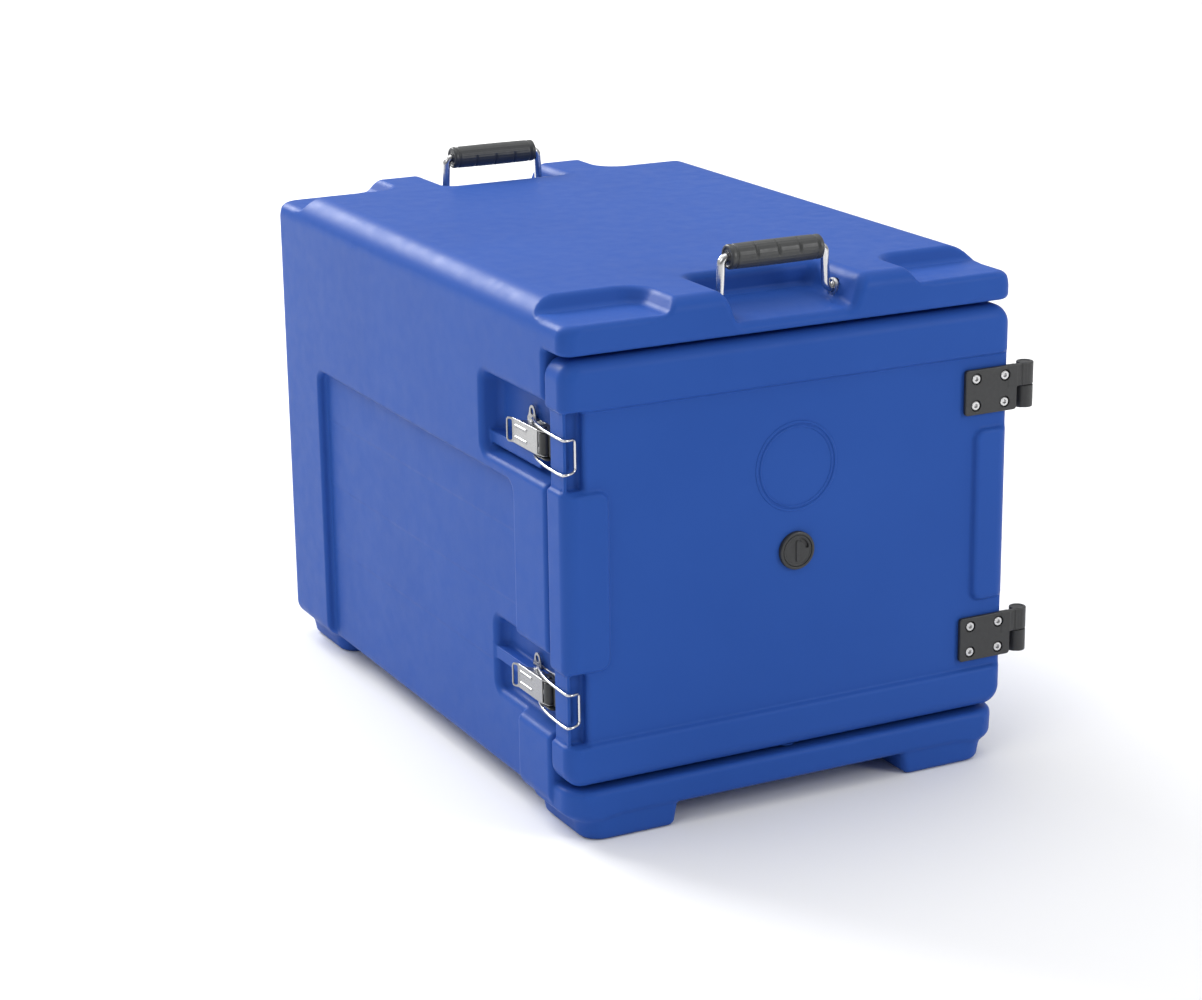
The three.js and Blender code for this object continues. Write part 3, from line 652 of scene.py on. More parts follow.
# ---- shells
def body_shell():
    xs = [s * v for v in (55, 66, 74, 115, 127, 140, 156, 168, 200, 212, 220) for s in (-1, 1)]
    ys = [v for y in (2, 14, 37, 63, 77, 98) for v in (y, D - y)] + [102, 160, 546, 590]
    zs = [2, 21, 40, 47, 88, 92, 120, 132, 155, 186, 198, 252, 264, 298, 313, 330, 382, 426, 440, 452, 463]
    piece = moulded("rotomoulded_body", body_field(), BODY, (xs, ys, zs), 2.4, 9.0, 5.0, 0.4)
    finish(piece, "moulded_polyethylene_blue", "body", "body_shell")


def door_shell():
    xs = [s * v for v in (160, 172, 180, 199, 210, 218) for s in (-1, 1)] + [-37, -30, -10, 3, 16, 36, 43]
    ys = [0, 8, 16, 24, 34, 44, 53]
    zs = [52, 70, 89, 100, 150, 220, 240, 268, 275, 305, 335, 342, 375, 385, 405, 420]
    piece = moulded("rotomoulded_door", door_shape(), DOOR, (xs, ys, zs), 1.6, 6.0, 4.0, 0.5)
    finish(piece, "moulded_polyethylene_blue", "door", "door_shell")


body_shell()
door_shell()


# ---- turned and bent pieces
CIRCLE = 1.0
HEXAGON = 0.0


def hexagon_reach(angle):
    """How far a hexagon of half width 1 across its flats reaches at an angle."""
    return 1 / np.cos((angle + math.pi / 6) % (math.pi / 3) - math.pi / 6)


def turned(name, axis, centre, profile, sides=48):
    """A closed ring of (radius, place along the axis, shape) turned about an axis; radius 0 closes an end."""
    angles = np.arange(sides) * 2 * math.pi / sides
    points, rows, faces = [], [], []

    def at(u, v, along):
        point = [u + centre[0], v + centre[1]]
        point.insert(axis, along)
        return point
    for radius, along, *shape in profile:
        if radius == 0:
            rows.append([len(points)] * sides)
            points.append(at(0, 0, along))
            continue
        reach = np.ones(sides) if (shape or [CIRCLE])[0] == CIRCLE else hexagon_reach(angles)
        rows.append(list(range(len(points), len(points) + sides)))
        for r, a in zip(reach, angles):
            points.append(at(radius * r * math.cos(a), radius * r * math.sin(a), along))
    closed = profile[0][0] > 0
    pairs = list(zip(rows, rows[1:])) + ([(rows[-1], rows[0])] if closed else [])
    for low, high in pairs:
        for i in range(sides):
            j = (i + 1) % sides
            ring = [low[i], low[j], high[j], high[i]]
            faces.append(list(dict.fromkeys(ring)))
    return sharpened(new_object(name, points, faces))


def sharpened(piece, angle=32.0):
    """Normals outward, and smooth shading that breaks at sharp edges."""
    mesh = piece.data
    shape = bmesh.new()
    shape.from_mesh(mesh)
    bmesh.ops.recalc_face_normals(shape, faces=shape.faces)
    shape.to_mesh(mesh)
    shape.free()
    mesh.shade_smooth()
    mesh.set_sharp_from_angle(angle=math.radians(angle))
    return piece


def corner_curve(before, here, after, reach, share, steps):
    """A corner rounded as far along its sides as reach, and at most a share of each side."""
    ends = []
    for other in (before, after):
        way = other - here
        size = np.linalg.norm(way)
        ends.append(here + way / size * min(reach, size * share))
    parts = np.linspace(0, 1, steps + 1)
    return [(1 - t) ** 2 * ends[0] + 2 * t * (1 - t) * here + t * t * ends[1] for t in parts]


def rounded_profile(profile, radius, steps=3):
    """A closed turned profile with each corner rounded."""
    corners = [np.array(c) for c in profile]
    out = []
    for i, here in enumerate(corners):
        after = corners[(i + 1) % len(corners)]
        out += [tuple(c) for c in corner_curve(corners[i - 1], here, after, radius, 0.45, steps)]
    return out


def bent(corners, radii, steps=8):
    """A path through the corners, each rounded with its own reach."""
    corners = [np.array(c, float) for c in corners]
    path = [corners[0]]
    for i in range(1, len(corners) - 1):
        path += corner_curve(*corners[i - 1:i + 2], radii[i], 0.49, steps)
    path.append(corners[-1])
    kept = [path[0]]
    for point in path[1:]:
        if np.linalg.norm(point - kept[-1]) > 0.05:
            kept.append(point)
    return kept


def bent_wire(name, path, radius, sides=20, dome=0.7):
    """A round wire along a path, with softly domed ends."""
    path = np.array(path)
    ways = np.gradient(path, axis=0)
    ways /= np.linalg.norm(ways, axis=1)[:, None]
    up = np.cross(ways[0], (0.3, 0.5, 0.8))
    rings = []
    for point, way in zip(path, ways):
        up = up - way * up.dot(way)
        up /= np.linalg.norm(up)
        rings.append((point, way, up, np.cross(way, up)))
    domed = [(1 - t, radius * math.sin(0.5 * math.pi * (0.25 + 0.75 * t))) for t in (0.0, 0.45, 0.8)]
    point, way, u, v = rings[0]
    sections = [(point - way * dome * out, u, v, r) for out, r in domed]
    sections += [(point, u, v, radius) for point, _, u, v in rings]
    point, way, u, v = rings[-1]
    sections += [(point + way * dome * out, u, v, r) for out, r in domed[::-1]]
    points, faces = [], []
    for point, u, v, r in sections:
        for k in range(sides):
            a = 2 * math.pi * k / sides
            points.append(point + (u * math.cos(a) + v * math.sin(a)) * r)
    for row in range(len(sections) - 1):
        for k in range(sides):
            j = (k + 1) % sides
            faces.append([row * sides + k, row * sides + j, (row + 1) * sides + j, (row + 1) * sides + k])
    last = (len(sections) - 1) * sides
    faces.append(list(range(sides))[::-1])
    faces.append([last + k for k in range(sides)])
    return sharpened(new_object(name, points, faces), 50)


def looped_faces(count, size):
    """The faces between rings of points, with the last ring joined to the first."""
    faces = []
    for row in range(count):
        a, b = row * size, (row + 1) % count * size
        for k in range(size):
            j = (k + 1) % size
            faces.append([a + k, a + j, b + j, b + k])
    return faces


def prism(corners, axis, span, r=0.0):
    """A convex outline, anticlockwise, run along an axis."""
    i, j = [k for k in range(3) if k != axis]

    def flat(p):
        edges = []
        for (u0, v0), (u1, v1) in zip(corners, corners[1:] + corners[:1]):
            size = math.hypot(u1 - u0, v1 - v0)
            edges.append(((p[i] - u0) * (v1 - v0) - (p[j] - v0) * (u1 - u0)) / size)
        return reduce(lambda a, b: smooth_max(a, b, r), edges)
    return extruded(flat, axis, span, r)


def fine_moulding(name, field, box, fine=0.5, ratio=0.5):
    spots = [list(np.arange(low, high + 2, 4.0)) for low, high in box]
    return moulded(name, field, box, spots, fine, fine, 10.0, ratio)


# ---- hinges
HEIGHTS = {place: middle(cad(f"hinge_door_leaf_{place}")[2]) for place in ("upper", "lower")}
LEAF_HALF = 20.5
LEAF_GAP = 0.3  # half the gap between the two leaves' knuckles
LEAF_FACE = 0.6
PIN_AXIS = (238.5, 8.0)
KNUCKLE = {"radius": 7.75, "bore": 3.2, "end": 17.5}
SCREW = {"head": 4.0, "shank": 2.0, "well": 5.2, "deep": 2.2}


def knuckle(low, high):
    shape = rod(2, *PIN_AXIS, KNUCKLE["radius"], (low, high), 0.9)
    dimple = rod(2, *PIN_AXIS, 4.8, (high - 0.5, high + 5), 0.2)
    return cut(shape, dimple, 0.4)


def leaf_wells(axis, spots, face, inward):
    """Countersinks for the screws."""
    ends = sorted((face - 3 * inward, face + SCREW["deep"] * inward))
    wells = [rod(axis, *spot, SCREW["well"], ends, 0.3) for spot in spots]
    return reduce(join, wells)


def spots_of(leaf, place):
    boxes = [cad(f"hinge_{leaf}_screw_{place}_{i}") for i in (1, 2, 3, 4)]
    across = 0 if leaf == "door" else 1
    return [(middle(b[across]), middle(b[2])) for b in boxes]


def door_leaf(place):
    z = HEIGHTS[place]
    box = cad(f"hinge_door_leaf_{place}")
    face, back = LEAF_FACE, FIELD["depth"] - 0.3
    own = (z + LEAF_GAP, z + LEAF_HALF)
    shape = plate(1, (box[0][0], 226), about(z, LEAF_HALF), 3, (face, back), 1.1)
    arm = block((216, 236.5), (face, back), own, 1.1)
    shape = join(shape, arm, 1)
    groove = rod(2, 230.8, face - 0.4, 1.0, (z - LEAF_HALF - 5, z + LEAF_HALF + 5))
    shape = join(cut(shape, groove, 0.5), knuckle(*own), 1.2)
    bore = rod(2, *PIN_AXIS, KNUCKLE["bore"], (z - LEAF_HALF, z + KNUCKLE["end"]))
    shape = cut(shape, bore, 0.3)
    shape = cut(shape, leaf_wells(1, spots_of("door", place), face, 1), 0.4)
    piece = fine_moulding(f"hinge_door_plate_{place}", shape, box, 0.55)
    finish(piece, "black_nylon", "door", f"hinge_door_leaf_{place}")


def body_leaf(place):
    z = HEIGHTS[place]
    box = cad(f"hinge_body_leaf_{place}")
    inner, outer = box[0][0], 225.0
    own = (z - LEAF_HALF, z - LEAF_GAP)
    shape = plate(0, (16, box[1][1]), about(z, LEAF_HALF), 3, (inner, outer), 1.1)
    arm = prism([(inner, 16), (233.5, 3.5), (240.5, 14.3), (outer, 24), (inner, 24)], 2, own, 0.9)
    shape = join(join(shape, arm, 2), knuckle(*own), 1.2)
    bore = rod(2, *PIN_AXIS, KNUCKLE["bore"], (z - KNUCKLE["end"], z + LEAF_HALF))
    shape = cut(shape, bore, 0.3)
    shape = cut(shape, leaf_wells(0, spots_of("body", place), outer, -1), 0.4)
    piece = fine_moulding(f"hinge_body_plate_{place}", shape, box, 0.55)
    finish(piece, "black_nylon", "body", f"hinge_body_leaf_{place}")


def screw(name, axis, spot, head_end, tip_end, body, node):
    """A countersunk screw with a hexagonal socket."""
    way = 1 if tip_end > head_end else -1
    face = head_end + 0.15 * way
    r = SCREW["head"]

    def at(depth):
        return face + depth * way
    profile = [
        (0, at(1.9)), (1.7, at(1.9), HEXAGON), (1.75, at(0.3), HEXAGON), (2.0, at(0.08), HEXAGON),
        (r - 0.9, at(0.0)), (r - 0.35, at(0.12)), (r, at(0.5)), (r, at(0.9)), (2.1, at(2.05)),
        (SCREW["shank"], at(3.0)), (SCREW["shank"], tip_end - 2 * way), (0.6, tip_end), (0, tip_end),
    ]
    finish(turned(name, axis, spot, profile, 48), "bright_steel", body, node)


def hinge_pin(place):
    box = cad(f"hinge_pin_{place}")
    low, high = box[2]
    profile = [(0, low), (2.4, low), (3, low + 0.6), (3, high - 0.6), (2.4, high), (0, high)]
    piece = turned(f"hinge_spindle_{place}", 2, PIN_AXIS, profile, 40)
    finish(piece, "bright_steel", "body", f"hinge_pin_{place}")


def hinge(place):
    door_leaf(place)
    body_leaf(place)
    hinge_pin(place)
    for leaf, axis in (("door", 1), ("body", 0)):
        for i, spot in enumerate(spots_of(leaf, place), 1):
            node = f"hinge_{leaf}_screw_{place}_{i}"
            span = cad(node)[axis]
            head, tip = span if leaf == "door" else span[::-1]
            screw(f"hinge_{leaf}_fixing_{place}_{i}", axis, spot, head, tip, leaf, node)


# ---- latches
LEVER = {"face": 215.0, "sheet": 1.2, "half": 11.0, "start": 60.0, "tip": 114.0, "out": 3.0}
BEAD = {"middle": 91.5, "half": 10.5, "rise": 5.1, "width": 1.1, "height": 0.8}
EYE = {"y": 92.0, "rise": 18.0, "outer": 5.6, "hole": 2.9, "base": 7.5, "sheet": 1.5}
PIVOT = (-209.5, 56.0)
BAIL_PIVOT = (-207.0, 84.0)
BLOCK = {"slot": 11.6, "nose": 10.8, "barrel": 9.4, "rib": 1.2, "hole": 2.25}
THROUGH = 20  # half the length of a hole that runs through both cheeks


def latch_plate(place, z):
    box = cad(f"latch_plate_{place}")
    inner, outer = -200.3, -201.8
    ys, half = box[1], 12.5
    top = z + half
    shape = plate(0, ys, (z - half, top), 3, (outer, inner), 0.4)
    front = box[0][0]
    tab_span = (front, front + EYE["sheet"])
    along = (EYE["y"] - EYE["base"], EYE["y"] + EYE["base"])
    shelf = block((front, inner), along, (top - EYE["sheet"], top), 0.5)

    def triangle(p):
        """The tab's outline: straight sides that lean in from the shelf to the round top."""
        u, v = np.abs(p[1] - EYE["y"]), p[2] - z
        run, rise = EYE["base"] - EYE["outer"] * 0.97, EYE["rise"] + 1.4 - top + z
        side = ((u - EYE["base"]) * rise + (v - top + z) * run) / math.hypot(run, rise)
        base = smooth_max(side, np.maximum(top - EYE["sheet"] - p[2], v - EYE["rise"]), 0.3)
        return np.minimum(base, np.hypot(u, v - EYE["rise"]) - EYE["outer"])
    tab = extruded(triangle, 0, tab_span, 0.5)
    shape = join(shape, join(shelf, tab, 0.8), 0.5)
    hole = rod(0, EYE["y"], z + EYE["rise"], EYE["hole"], (front - 5, inner - 0.2))
    piece = fine_moulding(f"latch_back_plate_{place}", cut(shape, hole, 0.4), box, 0.4)
    finish(piece, "stainless_sheet", "body", f"latch_plate_{place}")


def latch_block(place, z):
    """The black block: a slot for the lever's cheeks, and a barrel round the pivot pin between them."""
    box = cad(f"latch_block_{place}")
    face, back = box[0]
    shape = plate(2, (face, back), box[1], (4.5, 1.5, 1.5, 2.5), box[2], 0.9)
    between, inside = about(z, BLOCK["slot"]), about(z, BLOCK["barrel"])
    slot = block((face - 5, -206.5), (box[1][0] - 5, box[1][1] + 5), between, 0.5)
    well = block((face - 5, -203.7), (50, box[1][1] + 5), between, 0.5)
    shape = cut(cut(shape, slot, 0.5), well, 0.4)
    nose = rod(2, -207.2, 48.2, 2.4, about(z, BLOCK["nose"]), 0.8)
    rib = block((-208.2, -204), (45.8, 50), about(z, BLOCK["rib"]), 0.5)
    root = block((-209.5, -203), (51.5, 66), inside, 0.8)
    barrel = join(rod(2, *PIVOT, 5.3, inside, 0.8), root, 1)
    shape = join(join(join(shape, nose, 0.6), rib, 0.5), barrel, 0.8)
    hole = rod(2, *PIVOT, BLOCK["hole"], about(z, THROUGH))
    piece = fine_moulding(f"latch_pivot_block_{place}", cut(shape, hole, 0.4), box, 0.4)
    finish(piece, "black_nylon", "body", f"latch_block_{place}")


def lever_field(z):
    """A pressed sheet lever: two raised beads, a slotted tip that turns out, and a cheek along each edge."""
    face, sheet, half, tip = LEVER["face"], LEVER["sheet"], LEVER["half"], LEVER["tip"]

    def pressing(p):
        """How far the sheet lies out from its flat face."""
        turn = np.clip((p[1] - tip + 8) / 7, 0, 1)
        across = np.abs(np.abs(p[2] - z) - BEAD["rise"])
        ends = np.maximum(np.abs(p[1] - BEAD["middle"]) - BEAD["half"], 0)
        bead = np.clip(BEAD["width"] + 0.5 - np.hypot(across, ends), 0, 1)
        return LEVER["out"] * turn * turn * (3 - 2 * turn) + BEAD["height"] * bead * bead * (3 - 2 * bead)

    def web(p):
        depth = np.abs(p[0] + face - sheet / 2 + pressing(p)) * 0.93 - sheet / 2
        outline = rounded_rect(p[1], p[2], (LEVER["start"], tip), about(z, half), (1, 4, 4, 1))
        return smooth_max(depth, outline, 0.45)
    corners = [(-214.6, LEVER["start"]), (-214.0, 57), (-212.5, 52.3), (-209.5, 51.05), (-206, 52.6)]
    corners += [(-204.7, 56.5), (-204.5, 85), (-206.5, 90), (-214.6, 98)]
    cheek = prism(corners, 2, (-sheet, 0), 0.35)

    def cheeks(p):
        return cheek((p[0], p[1], np.abs(p[2] - z) - half))
    shape = join(web, cheeks, 0.7)
    slot = plate(0, (tip - 6.2, tip - 1.8), (z - half + 1.8, z + half - 1.8), 1.9, (-face - 8, -face + 8))
    shape = cut(shape, slot, 0.4)
    pivot = rod(2, *PIVOT, 2.1, about(z, THROUGH))
    eye = rod(2, *BAIL_PIVOT, 1.7, about(z, THROUGH))
    return cut(cut(shape, pivot, 0.2), eye, 0.2)


def latch_lever(place, z):
    box = cad(f"latch_lever_{place}")
    piece = fine_moulding(f"latch_pressed_lever_{place}", lever_field(z), box, 0.4)
    finish(piece, "stainless_sheet", f"lever_{place}", f"latch_lever_{place}")


def latch_bail(place, z):
    """A spring wire loop from the lever's cheeks, round the door's edge and over its ridge."""
    half = [(*BAIL_PIVOT, 8.8), (*BAIL_PIVOT, 15.2), (-213.2, 66, 15.2), (-217, 44, 15.2), (-218.2, 14, 15.2)]
    half += [(-217.6, 5.6, 14.9), (-213.5, 5.0, 14.4), (-205.2, 9.4, 14)]
    path = [(x, y, z + rise) for x, y, rise in half] + [(x, y, z - rise) for x, y, rise in half[::-1]]
    reach = [0, 3.2, 10, 12, 5, 2.4, 3.5, 4.0]
    piece = bent_wire(f"latch_wire_bail_{place}", bent(path, reach + reach[::-1]), 1.25)
    finish(piece, "spring_wire", f"bail_{place}", f"latch_bail_{place}")


def latch_pin(place):
    low, high = cad(f"latch_pin_{place}")[2]
    profile = [(0, low), (1.4, low), (1.95, low + 0.5), (1.95, high - 0.5), (1.4, high), (0, high)]
    piece = turned(f"latch_pivot_pin_{place}", 2, PIVOT, profile, 32)
    # The pin keeps its bright_steel slot, but it is drawn near-black as painted shade for the dark gap it
    # sits in.
    finish(piece, "bright_steel", "body", f"latch_pin_{place}", look=PIN_PAINTED_SHADE_STEEL)


def latch_rivet(place, i):
    node = f"latch_rivet_{place}_{i}"
    box = cad(node)
    out, tip = box[0]
    profile = [(0, out), (1.6, out + 0.08), (2.9, out + 0.4), (3.8, out + 1.0), (4, out + 1.5)]
    profile += [(2, out + 1.55), (2, tip - 1), (1.4, tip), (0, tip)]
    piece = turned(f"latch_domed_rivet_{place}_{i}", 0, (middle(box[1]), middle(box[2])), profile, 40)
    finish(piece, "bright_steel", "body", node)


def latch(place, z):
    latch_plate(place, z)
    latch_block(place, z)
    latch_lever(place, z)
    latch_bail(place, z)
    latch_pin(place)
    for i in (1, 2):
        latch_rivet(place, i)


# ---- handles
HANDLE = {"wire": 3.75, "grip_z": 485.0, "pivot_z": 448.0, "inset": 40.0}
HANDLE.update(top=50.3, foot=52.0, tip=67.0)  # half widths of the wire
GRIP = {"half": 45.0, "straight": 43.2, "round": 1.8, "collar": 39.5, "bore": 4.0}
GROOVES = {"at": (-20.0, 0.0, 20.0), "deep": 1.2, "width": 0.85}
GRIP_SIDES = 120


def grip_radius(x, angle):
    """The grip: a barrel with a collar at each end, three short grooves on each side and fine ridges."""
    t = abs(x) / GRIP["half"]
    radius = 10.55 + 0.45 * math.cos(math.pi * 0.42 * t)
    radius -= 0.9 * math.exp(-((abs(x) - GRIP["collar"]) / GROOVES["width"]) ** 2)
    facing = max(0.0, math.cos(2 * (angle - math.radians(35)))) ** 0.35
    for groove in GROOVES["at"]:
        radius -= GROOVES["deep"] * facing * math.exp(-((x - groove - 0.05 * x) / GROOVES["width"]) ** 2)
    inside = 1 / (1 + math.exp((abs(x) - 37.5) / 0.4))
    radius += 0.07 * inside * (math.cos(24 * angle) - 1)
    edge = max(0.0, abs(x) - GRIP["straight"]) / GRIP["round"]
    return radius - GRIP["round"] * (1 - math.sqrt(max(0.0, 1 - edge * edge)))


def handle_grip(end, y):
    half, z = GRIP["half"], HANDLE["grip_z"]
    places = list(np.linspace(-GRIP["straight"], GRIP["straight"], 109))
    round_end = [half - GRIP["round"] + GRIP["round"] * math.sin(a) for a in np.linspace(0.25, 1.5, 6)]
    places = [-x for x in round_end[::-1]] + places + round_end
    angles = [2 * math.pi * k / GRIP_SIDES for k in range(GRIP_SIDES)]
    rings = [[(x, grip_radius(x, a)) for a in angles] for x in places]
    end_face = [(0.05, 8.0), (0.7, 7.4), (0.7, 5.4), (0.2, 5.1), (0.2, GRIP["bore"])]
    rings += [[(half - inset, r)] * GRIP_SIDES for inset, r in end_face]
    rings += [[(inset - half, r)] * GRIP_SIDES for inset, r in end_face[::-1]]
    side = 1 if y < D / 2 else -1
    points = []
    for ring in rings:
        for (x, r), a in zip(ring, angles):
            points.append((x, y - side * r * math.cos(a), z + r * math.sin(a)))
    faces = looped_faces(len(rings), GRIP_SIDES)
    piece = sharpened(new_object(f"handle_sleeve_{end}", points, faces), 40)
    finish(piece, "black_grip", f"handle_{end}", f"handle_grip_{end}")


def handle_wire(end, y):
    z, low = HANDLE["grip_z"], HANDLE["pivot_z"]
    half = [(HANDLE["tip"], y, low), (HANDLE["foot"], y, low), (HANDLE["top"], y, z)]
    path = bent(half + [(-x, y, z) for x, y, z in half[::-1]], [0, 6.5, 6.5, 6.5, 6.5, 0], 12)
    piece = bent_wire(f"handle_bail_{end}", path, HANDLE["wire"], 32, 0.8)
    finish(piece, "spring_wire", f"handle_{end}", f"handle_wire_{end}")


def handle_bush(end, side, y):
    """A steel bush with a washer that covers the edge of its hole."""
    way = 1 if side == "right" else -1
    profile = [(4.0, 57.6), (4.6, 57.3), (6.9, 57.3), (8.0, 57.9), (8.2, 58.8), (8.2, 60.2), (6.4, 60.4)]
    profile += [(6.4, 68.0), (4.0, 68.0)]
    profile = [(r, way * x) for r, x in profile]
    piece = turned(f"handle_washer_{end}_{side}", 0, (y, HANDLE["pivot_z"]), profile, 48)
    finish(piece, "bright_steel", "body", f"handle_bush_{end}_{side}")


def handle(end, y):
    handle_grip(end, y)
    handle_wire(end, y)
    for side in ("left", "right"):
        handle_bush(end, side, y)


# ---- vent
THREAD = {"turns": 20, "start": 6.0, "pitch": 2.7}


def vent_housing():
    """A rimmed collar with rings for its thread, through the door."""
    profile = [(8.5, 3.6), (14.1, 3.6), (14.1, 2.0), (14.3, 1.4), (14.9, 1.2), (16.0, 1.25), (16.7, 1.7)]
    profile += [(17.0, 2.5), (17.0, 4.9), (11.5, 4.95)]
    for k in range(THREAD["turns"]):
        base = THREAD["start"] + k * THREAD["pitch"]
        profile += [(11.5, base), (11.1, base + 0.9), (11.1, base + 1.5)]
    profile += [(11.1, 60.4), (10.6, 61.0), (8.5, 61.0)]
    finish(turned("vent_collar", 1, VENT_SPOT, profile, 72), "black_nylon", "door", "vent_housing")


def arc_slot(x, z, inner, outer, start, end):
    """A curved slot with round ends, as a flat field."""
    mid, half = (inner + outer) / 2, (outer - inner) / 2
    centre, spread = (start + end) / 2, (end - start) / 2

    def flat(p):
        u, v = p[0] - x, p[2] - z
        turn = np.arctan2(v, u) - centre
        turn = np.arctan2(np.sin(turn), np.cos(turn))
        past = np.maximum(np.abs(turn) - spread, 0) * mid
        return np.hypot(np.hypot(u, v) - mid, past) - half
    return flat


def vent_dial():
    x, z = VENT_SPOT
    box = cad("vent_dial")
    front, back = 1.5, box[1][1]
    shape = rod(1, x, z, 13.8, (front, back), 0.4)
    shape = cut(shape, rod(1, x, z, 12.4, (front - 3, front + 0.35), 0.2), 0.3)
    bar = plate(1, about(x, 1.7), about(z, 9.5), 1.6, (box[1][0], front + 1), 0.5)
    shape = join(shape, bar, 0.5)
    slot = extruded(arc_slot(x, z, 8.4, 11.6, 0.3, 1.2), 1, (front - 4, back + 4))
    piece = fine_moulding("vent_turning_disc", cut(shape, slot, 0.3), box, 0.35)
    finish(piece, "black_nylon", "vent_dial", "vent_dial")


def vent_back():
    low, high = cad("vent_seal")[1]
    profile = rounded_profile([(11.8, low), (15.5, low), (15.5, high), (11.8, high)], 0.5)
    finish(turned("vent_ring_seal", 1, VENT_SPOT, profile, 64), "seal_rubber", "door", "vent_seal")
    low, high = cad("vent_nut")[1]
    profile = [(11.8, low), (14.9, low, HEXAGON), (15.1, low + 0.4, HEXAGON), (15.1, high - 0.9, HEXAGON)]
    profile += [(14.4, high, HEXAGON), (12.6, high), (11.8, high - 0.6)]
    finish(turned("vent_lock_nut", 1, VENT_SPOT, profile, 72), "black_nylon", "door", "vent_nut")


# ---- gasket, plugs and foam
def gasket():
    """A soft ring with two sealing lips."""
    xs, _, zs = GASKET
    profile = [(0.0, 30.0), (9.0, 30.0), (9.0, 34.0), (8.2, 36.0), (7.2, 36.65), (6.2, 36.3), (5.4, 34.6)]
    profile += [(4.5, 34.2), (3.6, 34.6), (2.8, 36.3), (1.8, 36.65), (0.8, 36.0), (0.0, 34.0)]
    outer = GASKET_CORNER
    half_x, half_z = (xs[1] - xs[0]) / 2, (zs[1] - zs[0]) / 2
    centre = (middle(xs), middle(zs))
    stations = []
    for sx, sz, start in ((1, 1, 0), (-1, 1, 1), (-1, -1, 2), (1, -1, 3)):
        for k in range(13):
            a = (start + k / 12) * math.pi / 2
            corner = (centre[0] + sx * (half_x - outer), centre[1] + sz * (half_z - outer))
            stations.append((corner, (math.cos(a), math.sin(a))))
    points = []
    for (cx, cz), (ux, uz) in stations:
        for inset, y in profile:
            reach = outer - inset
            points.append((cx + ux * reach, y, cz + uz * reach))
    faces = looped_faces(len(stations), len(profile))
    finish(sharpened(new_object("door_lip_seal", points, faces), 60), "seal_rubber", "door", "door_gasket")


def fill_plug(name, body, node, flange, radius):
    """A pressed-in plug: a flange with a shallow dish in its face, and a stem."""
    box = cad(node)
    low, high = box[2]
    profile = [(0, low + 0.9), (flange * 0.45, low + 0.9), (flange * 0.6, low + 0.25), (flange - 1.2, low)]
    profile += [(flange - 0.3, low + 0.3), (flange, low + 0.9), (flange, low + 1.4), (radius, low + 1.5)]
    profile += [(radius, high - 0.8), (radius - 0.8, high), (0, high)]
    piece = turned(name, 2, (middle(box[0]), middle(box[1])), profile, 64)
    finish(piece, "moulded_polyethylene_blue", body, node)


FOAM_INSET = 5.0


def foam_core(name, body, field, node):
    box = cad(node)
    spots = [list(np.linspace(low, high, 3)) for low, high in box]
    shape = common(grow(field, -FOAM_INSET), block(*box))
    piece = moulded(name, shape, box, spots, 6.0, 12.0, 6.0, 0.5)
    finish(piece, "insulating_foam", body, node)


# ---- emblem
def emblem():
    """A plain double ring, raised from the sunk face of the door."""
    spot, base = (VENT_SPOT[0], RING["z"]), FIELD["depth"] + 0.4
    crest = FIELD["depth"] - RING["height"]
    rings = (("outer", RING["outer"], RING["outer"] - 2.2), ("inner", RING["inner"] + 1.6, RING["inner"]))
    for name, outer, inner in rings:
        profile = [(inner - 0.5, base), (inner, crest + 0.35), (inner + 0.35, crest), (outer - 0.35, crest)]
        profile += [(outer, crest + 0.35), (outer + 0.5, base)]
        finish(turned(f"door_ring_{name}", 1, spot, profile, 160), "moulded_polyethylene_blue", "door")


for place in ("upper", "lower"):
    hinge(place)
for place, z in LATCHES.items():
    latch(place, z)
handle("front", HANDLE["inset"])
handle("rear", D - HANDLE["inset"])
vent_housing()
vent_dial()
vent_back()
gasket()
fill_plug("body_foam_plug", "body", "body_fill_plug", 15, 10)
fill_plug("door_foam_plug", "door", "door_fill_plug", 8, 6)
foam_core("body_foam", "body", body_field(), "body_foam_core")
foam_core("door_foam", "door", door_shape(), "door_foam_core")
emblem()


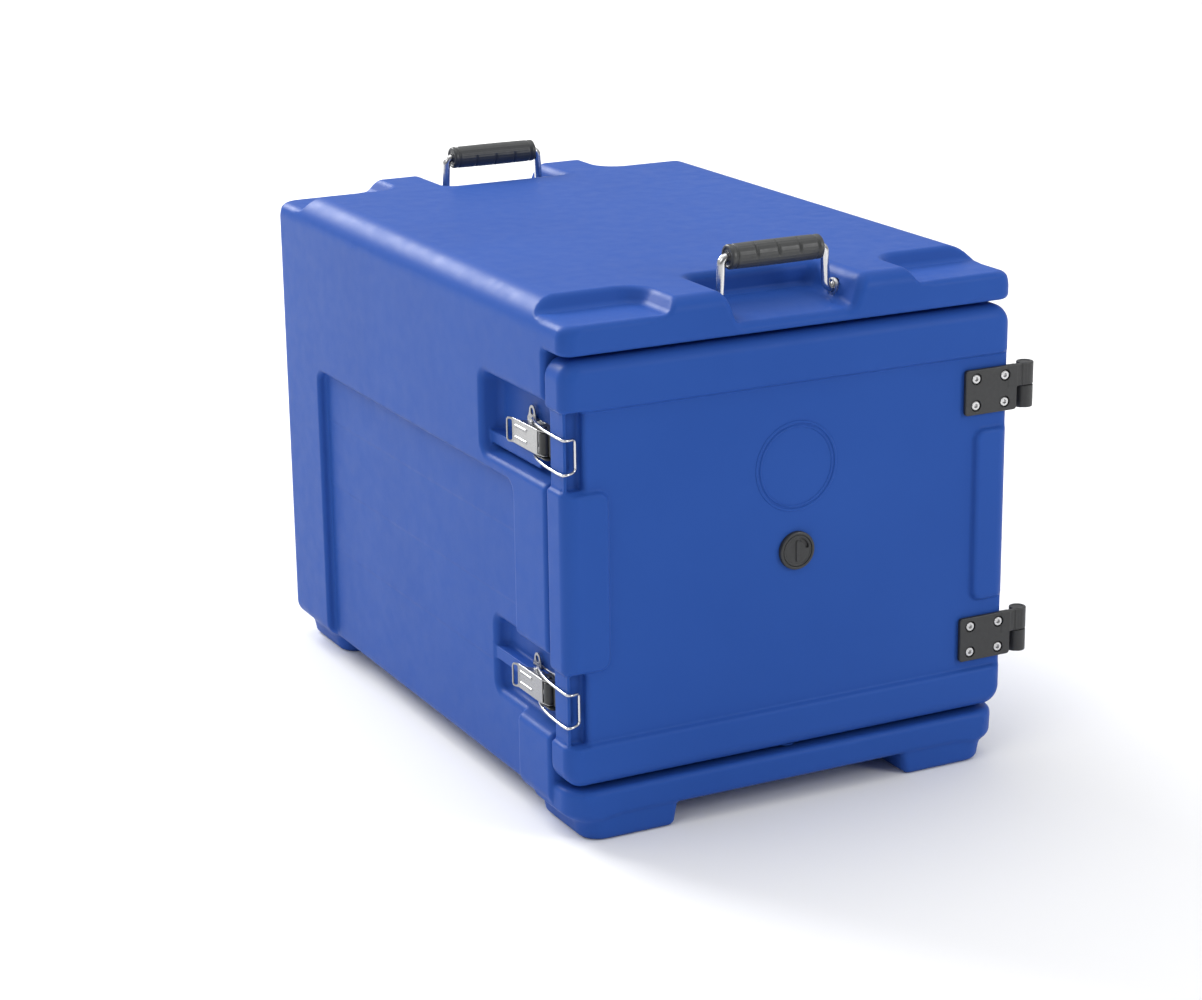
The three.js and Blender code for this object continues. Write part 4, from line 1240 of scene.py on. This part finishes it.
# ---- floor, light and camera
def studio():
    """A pale floor, and a white world that fades towards the front and below."""
    bpy.ops.mesh.primitive_plane_add(size=30.0)
    floor = bpy.context.object
    floor.name = "studio_floor"
    n = Nodes("studio_floor")
    tone = n.mix(n.noise(0.6, 1.0), rgb(0.86, 0.86, 0.86), rgb(0.89, 0.89, 0.89))
    floor.data.materials.append(n.shade(Base_Color=tone, Roughness=0.7))

    world = bpy.data.worlds.new("studio")
    bpy.context.scene.world = world
    world.use_nodes = True
    tree = world.node_tree
    place = tree.nodes.new("ShaderNodeTexCoord")
    axes = tree.nodes.new("ShaderNodeSeparateXYZ")
    tree.links.new(place.outputs["Generated"], axes.inputs["Vector"])
    parts = []
    for axis, *numbers in (("Y", -0.9, 0.0, 0.35, 1.0), ("Z", 0.0, 0.9, 0.45, 1.15)):
        fade = tree.nodes.new("ShaderNodeMapRange")
        fade.interpolation_type = "SMOOTHSTEP"
        set_range(fade, *numbers)
        tree.links.new(axes.outputs[axis], fade.inputs["Value"])
        parts.append(fade.outputs["Result"])
    product = tree.nodes.new("ShaderNodeMath")
    product.operation = "MULTIPLY"
    for part, socket in zip(parts, product.inputs):
        tree.links.new(part, socket)
    background = tree.nodes["Background"]
    background.inputs["Color"].default_value = rgb(1.0, 1.0, 1.0)
    tree.links.new(product.outputs["Value"], background.inputs["Strength"])


def softbox(name, place, target, size, power):
    """A white area lamp turned towards the target."""
    light = bpy.data.lights.new(name, "AREA")
    light.shape = "RECTANGLE"
    light.size, light.size_y = size
    light.energy = power
    lamp = bpy.data.objects.new(name, light)
    lamp.location = place
    lamp.rotation_euler = (Vector(target) - Vector(place)).to_track_quat("-Z", "Y").to_euler()
    bpy.context.scene.collection.objects.link(lamp)


def camera():
    """The photograph's viewing angle: from the front left, a little above."""
    data = bpy.data.cameras.new("camera")
    data.sensor_width = 36.0
    data.lens = 84.9
    data.clip_end = 100.0
    view = bpy.data.objects.new("camera", data)
    bpy.context.scene.collection.objects.link(view)
    yaw, pitch, roll = 0.468, 0.292, -0.014
    ahead = Vector((math.sin(yaw) * math.cos(pitch), math.cos(yaw) * math.cos(pitch), -math.sin(pitch)))
    view.location = (np.array([-1192.7, -1990.8, 974.7]) + np.array(ORIGIN)) * MM
    turn = ahead.to_track_quat("-Z", "Y").to_matrix() @ Matrix.Rotation(roll, 3, "Z")
    view.rotation_euler = turn.to_euler()
    bpy.context.scene.camera = view
    bpy.context.scene.view_settings.view_transform = "Standard"


studio()
softbox("key_left", (-2.6, -2.0, 2.4), (0.0, 0.0, 0.25), (1.6, 1.6), 15.0)
softbox("front_right", (1.9, -2.8, 1.6), (0.0, 0.0, 0.2), (1.2, 1.4), 40.0)
softbox("top", (0.0, 0.3, 3.0), (0.0, 0.0, 0.3), (1.8, 1.8), 12.0)
softbox("edge_strip", (-1.7, 5.6, 3.6), (-0.2, 0.0, 0.45), (3.6, 2.0), 450.0)
camera()
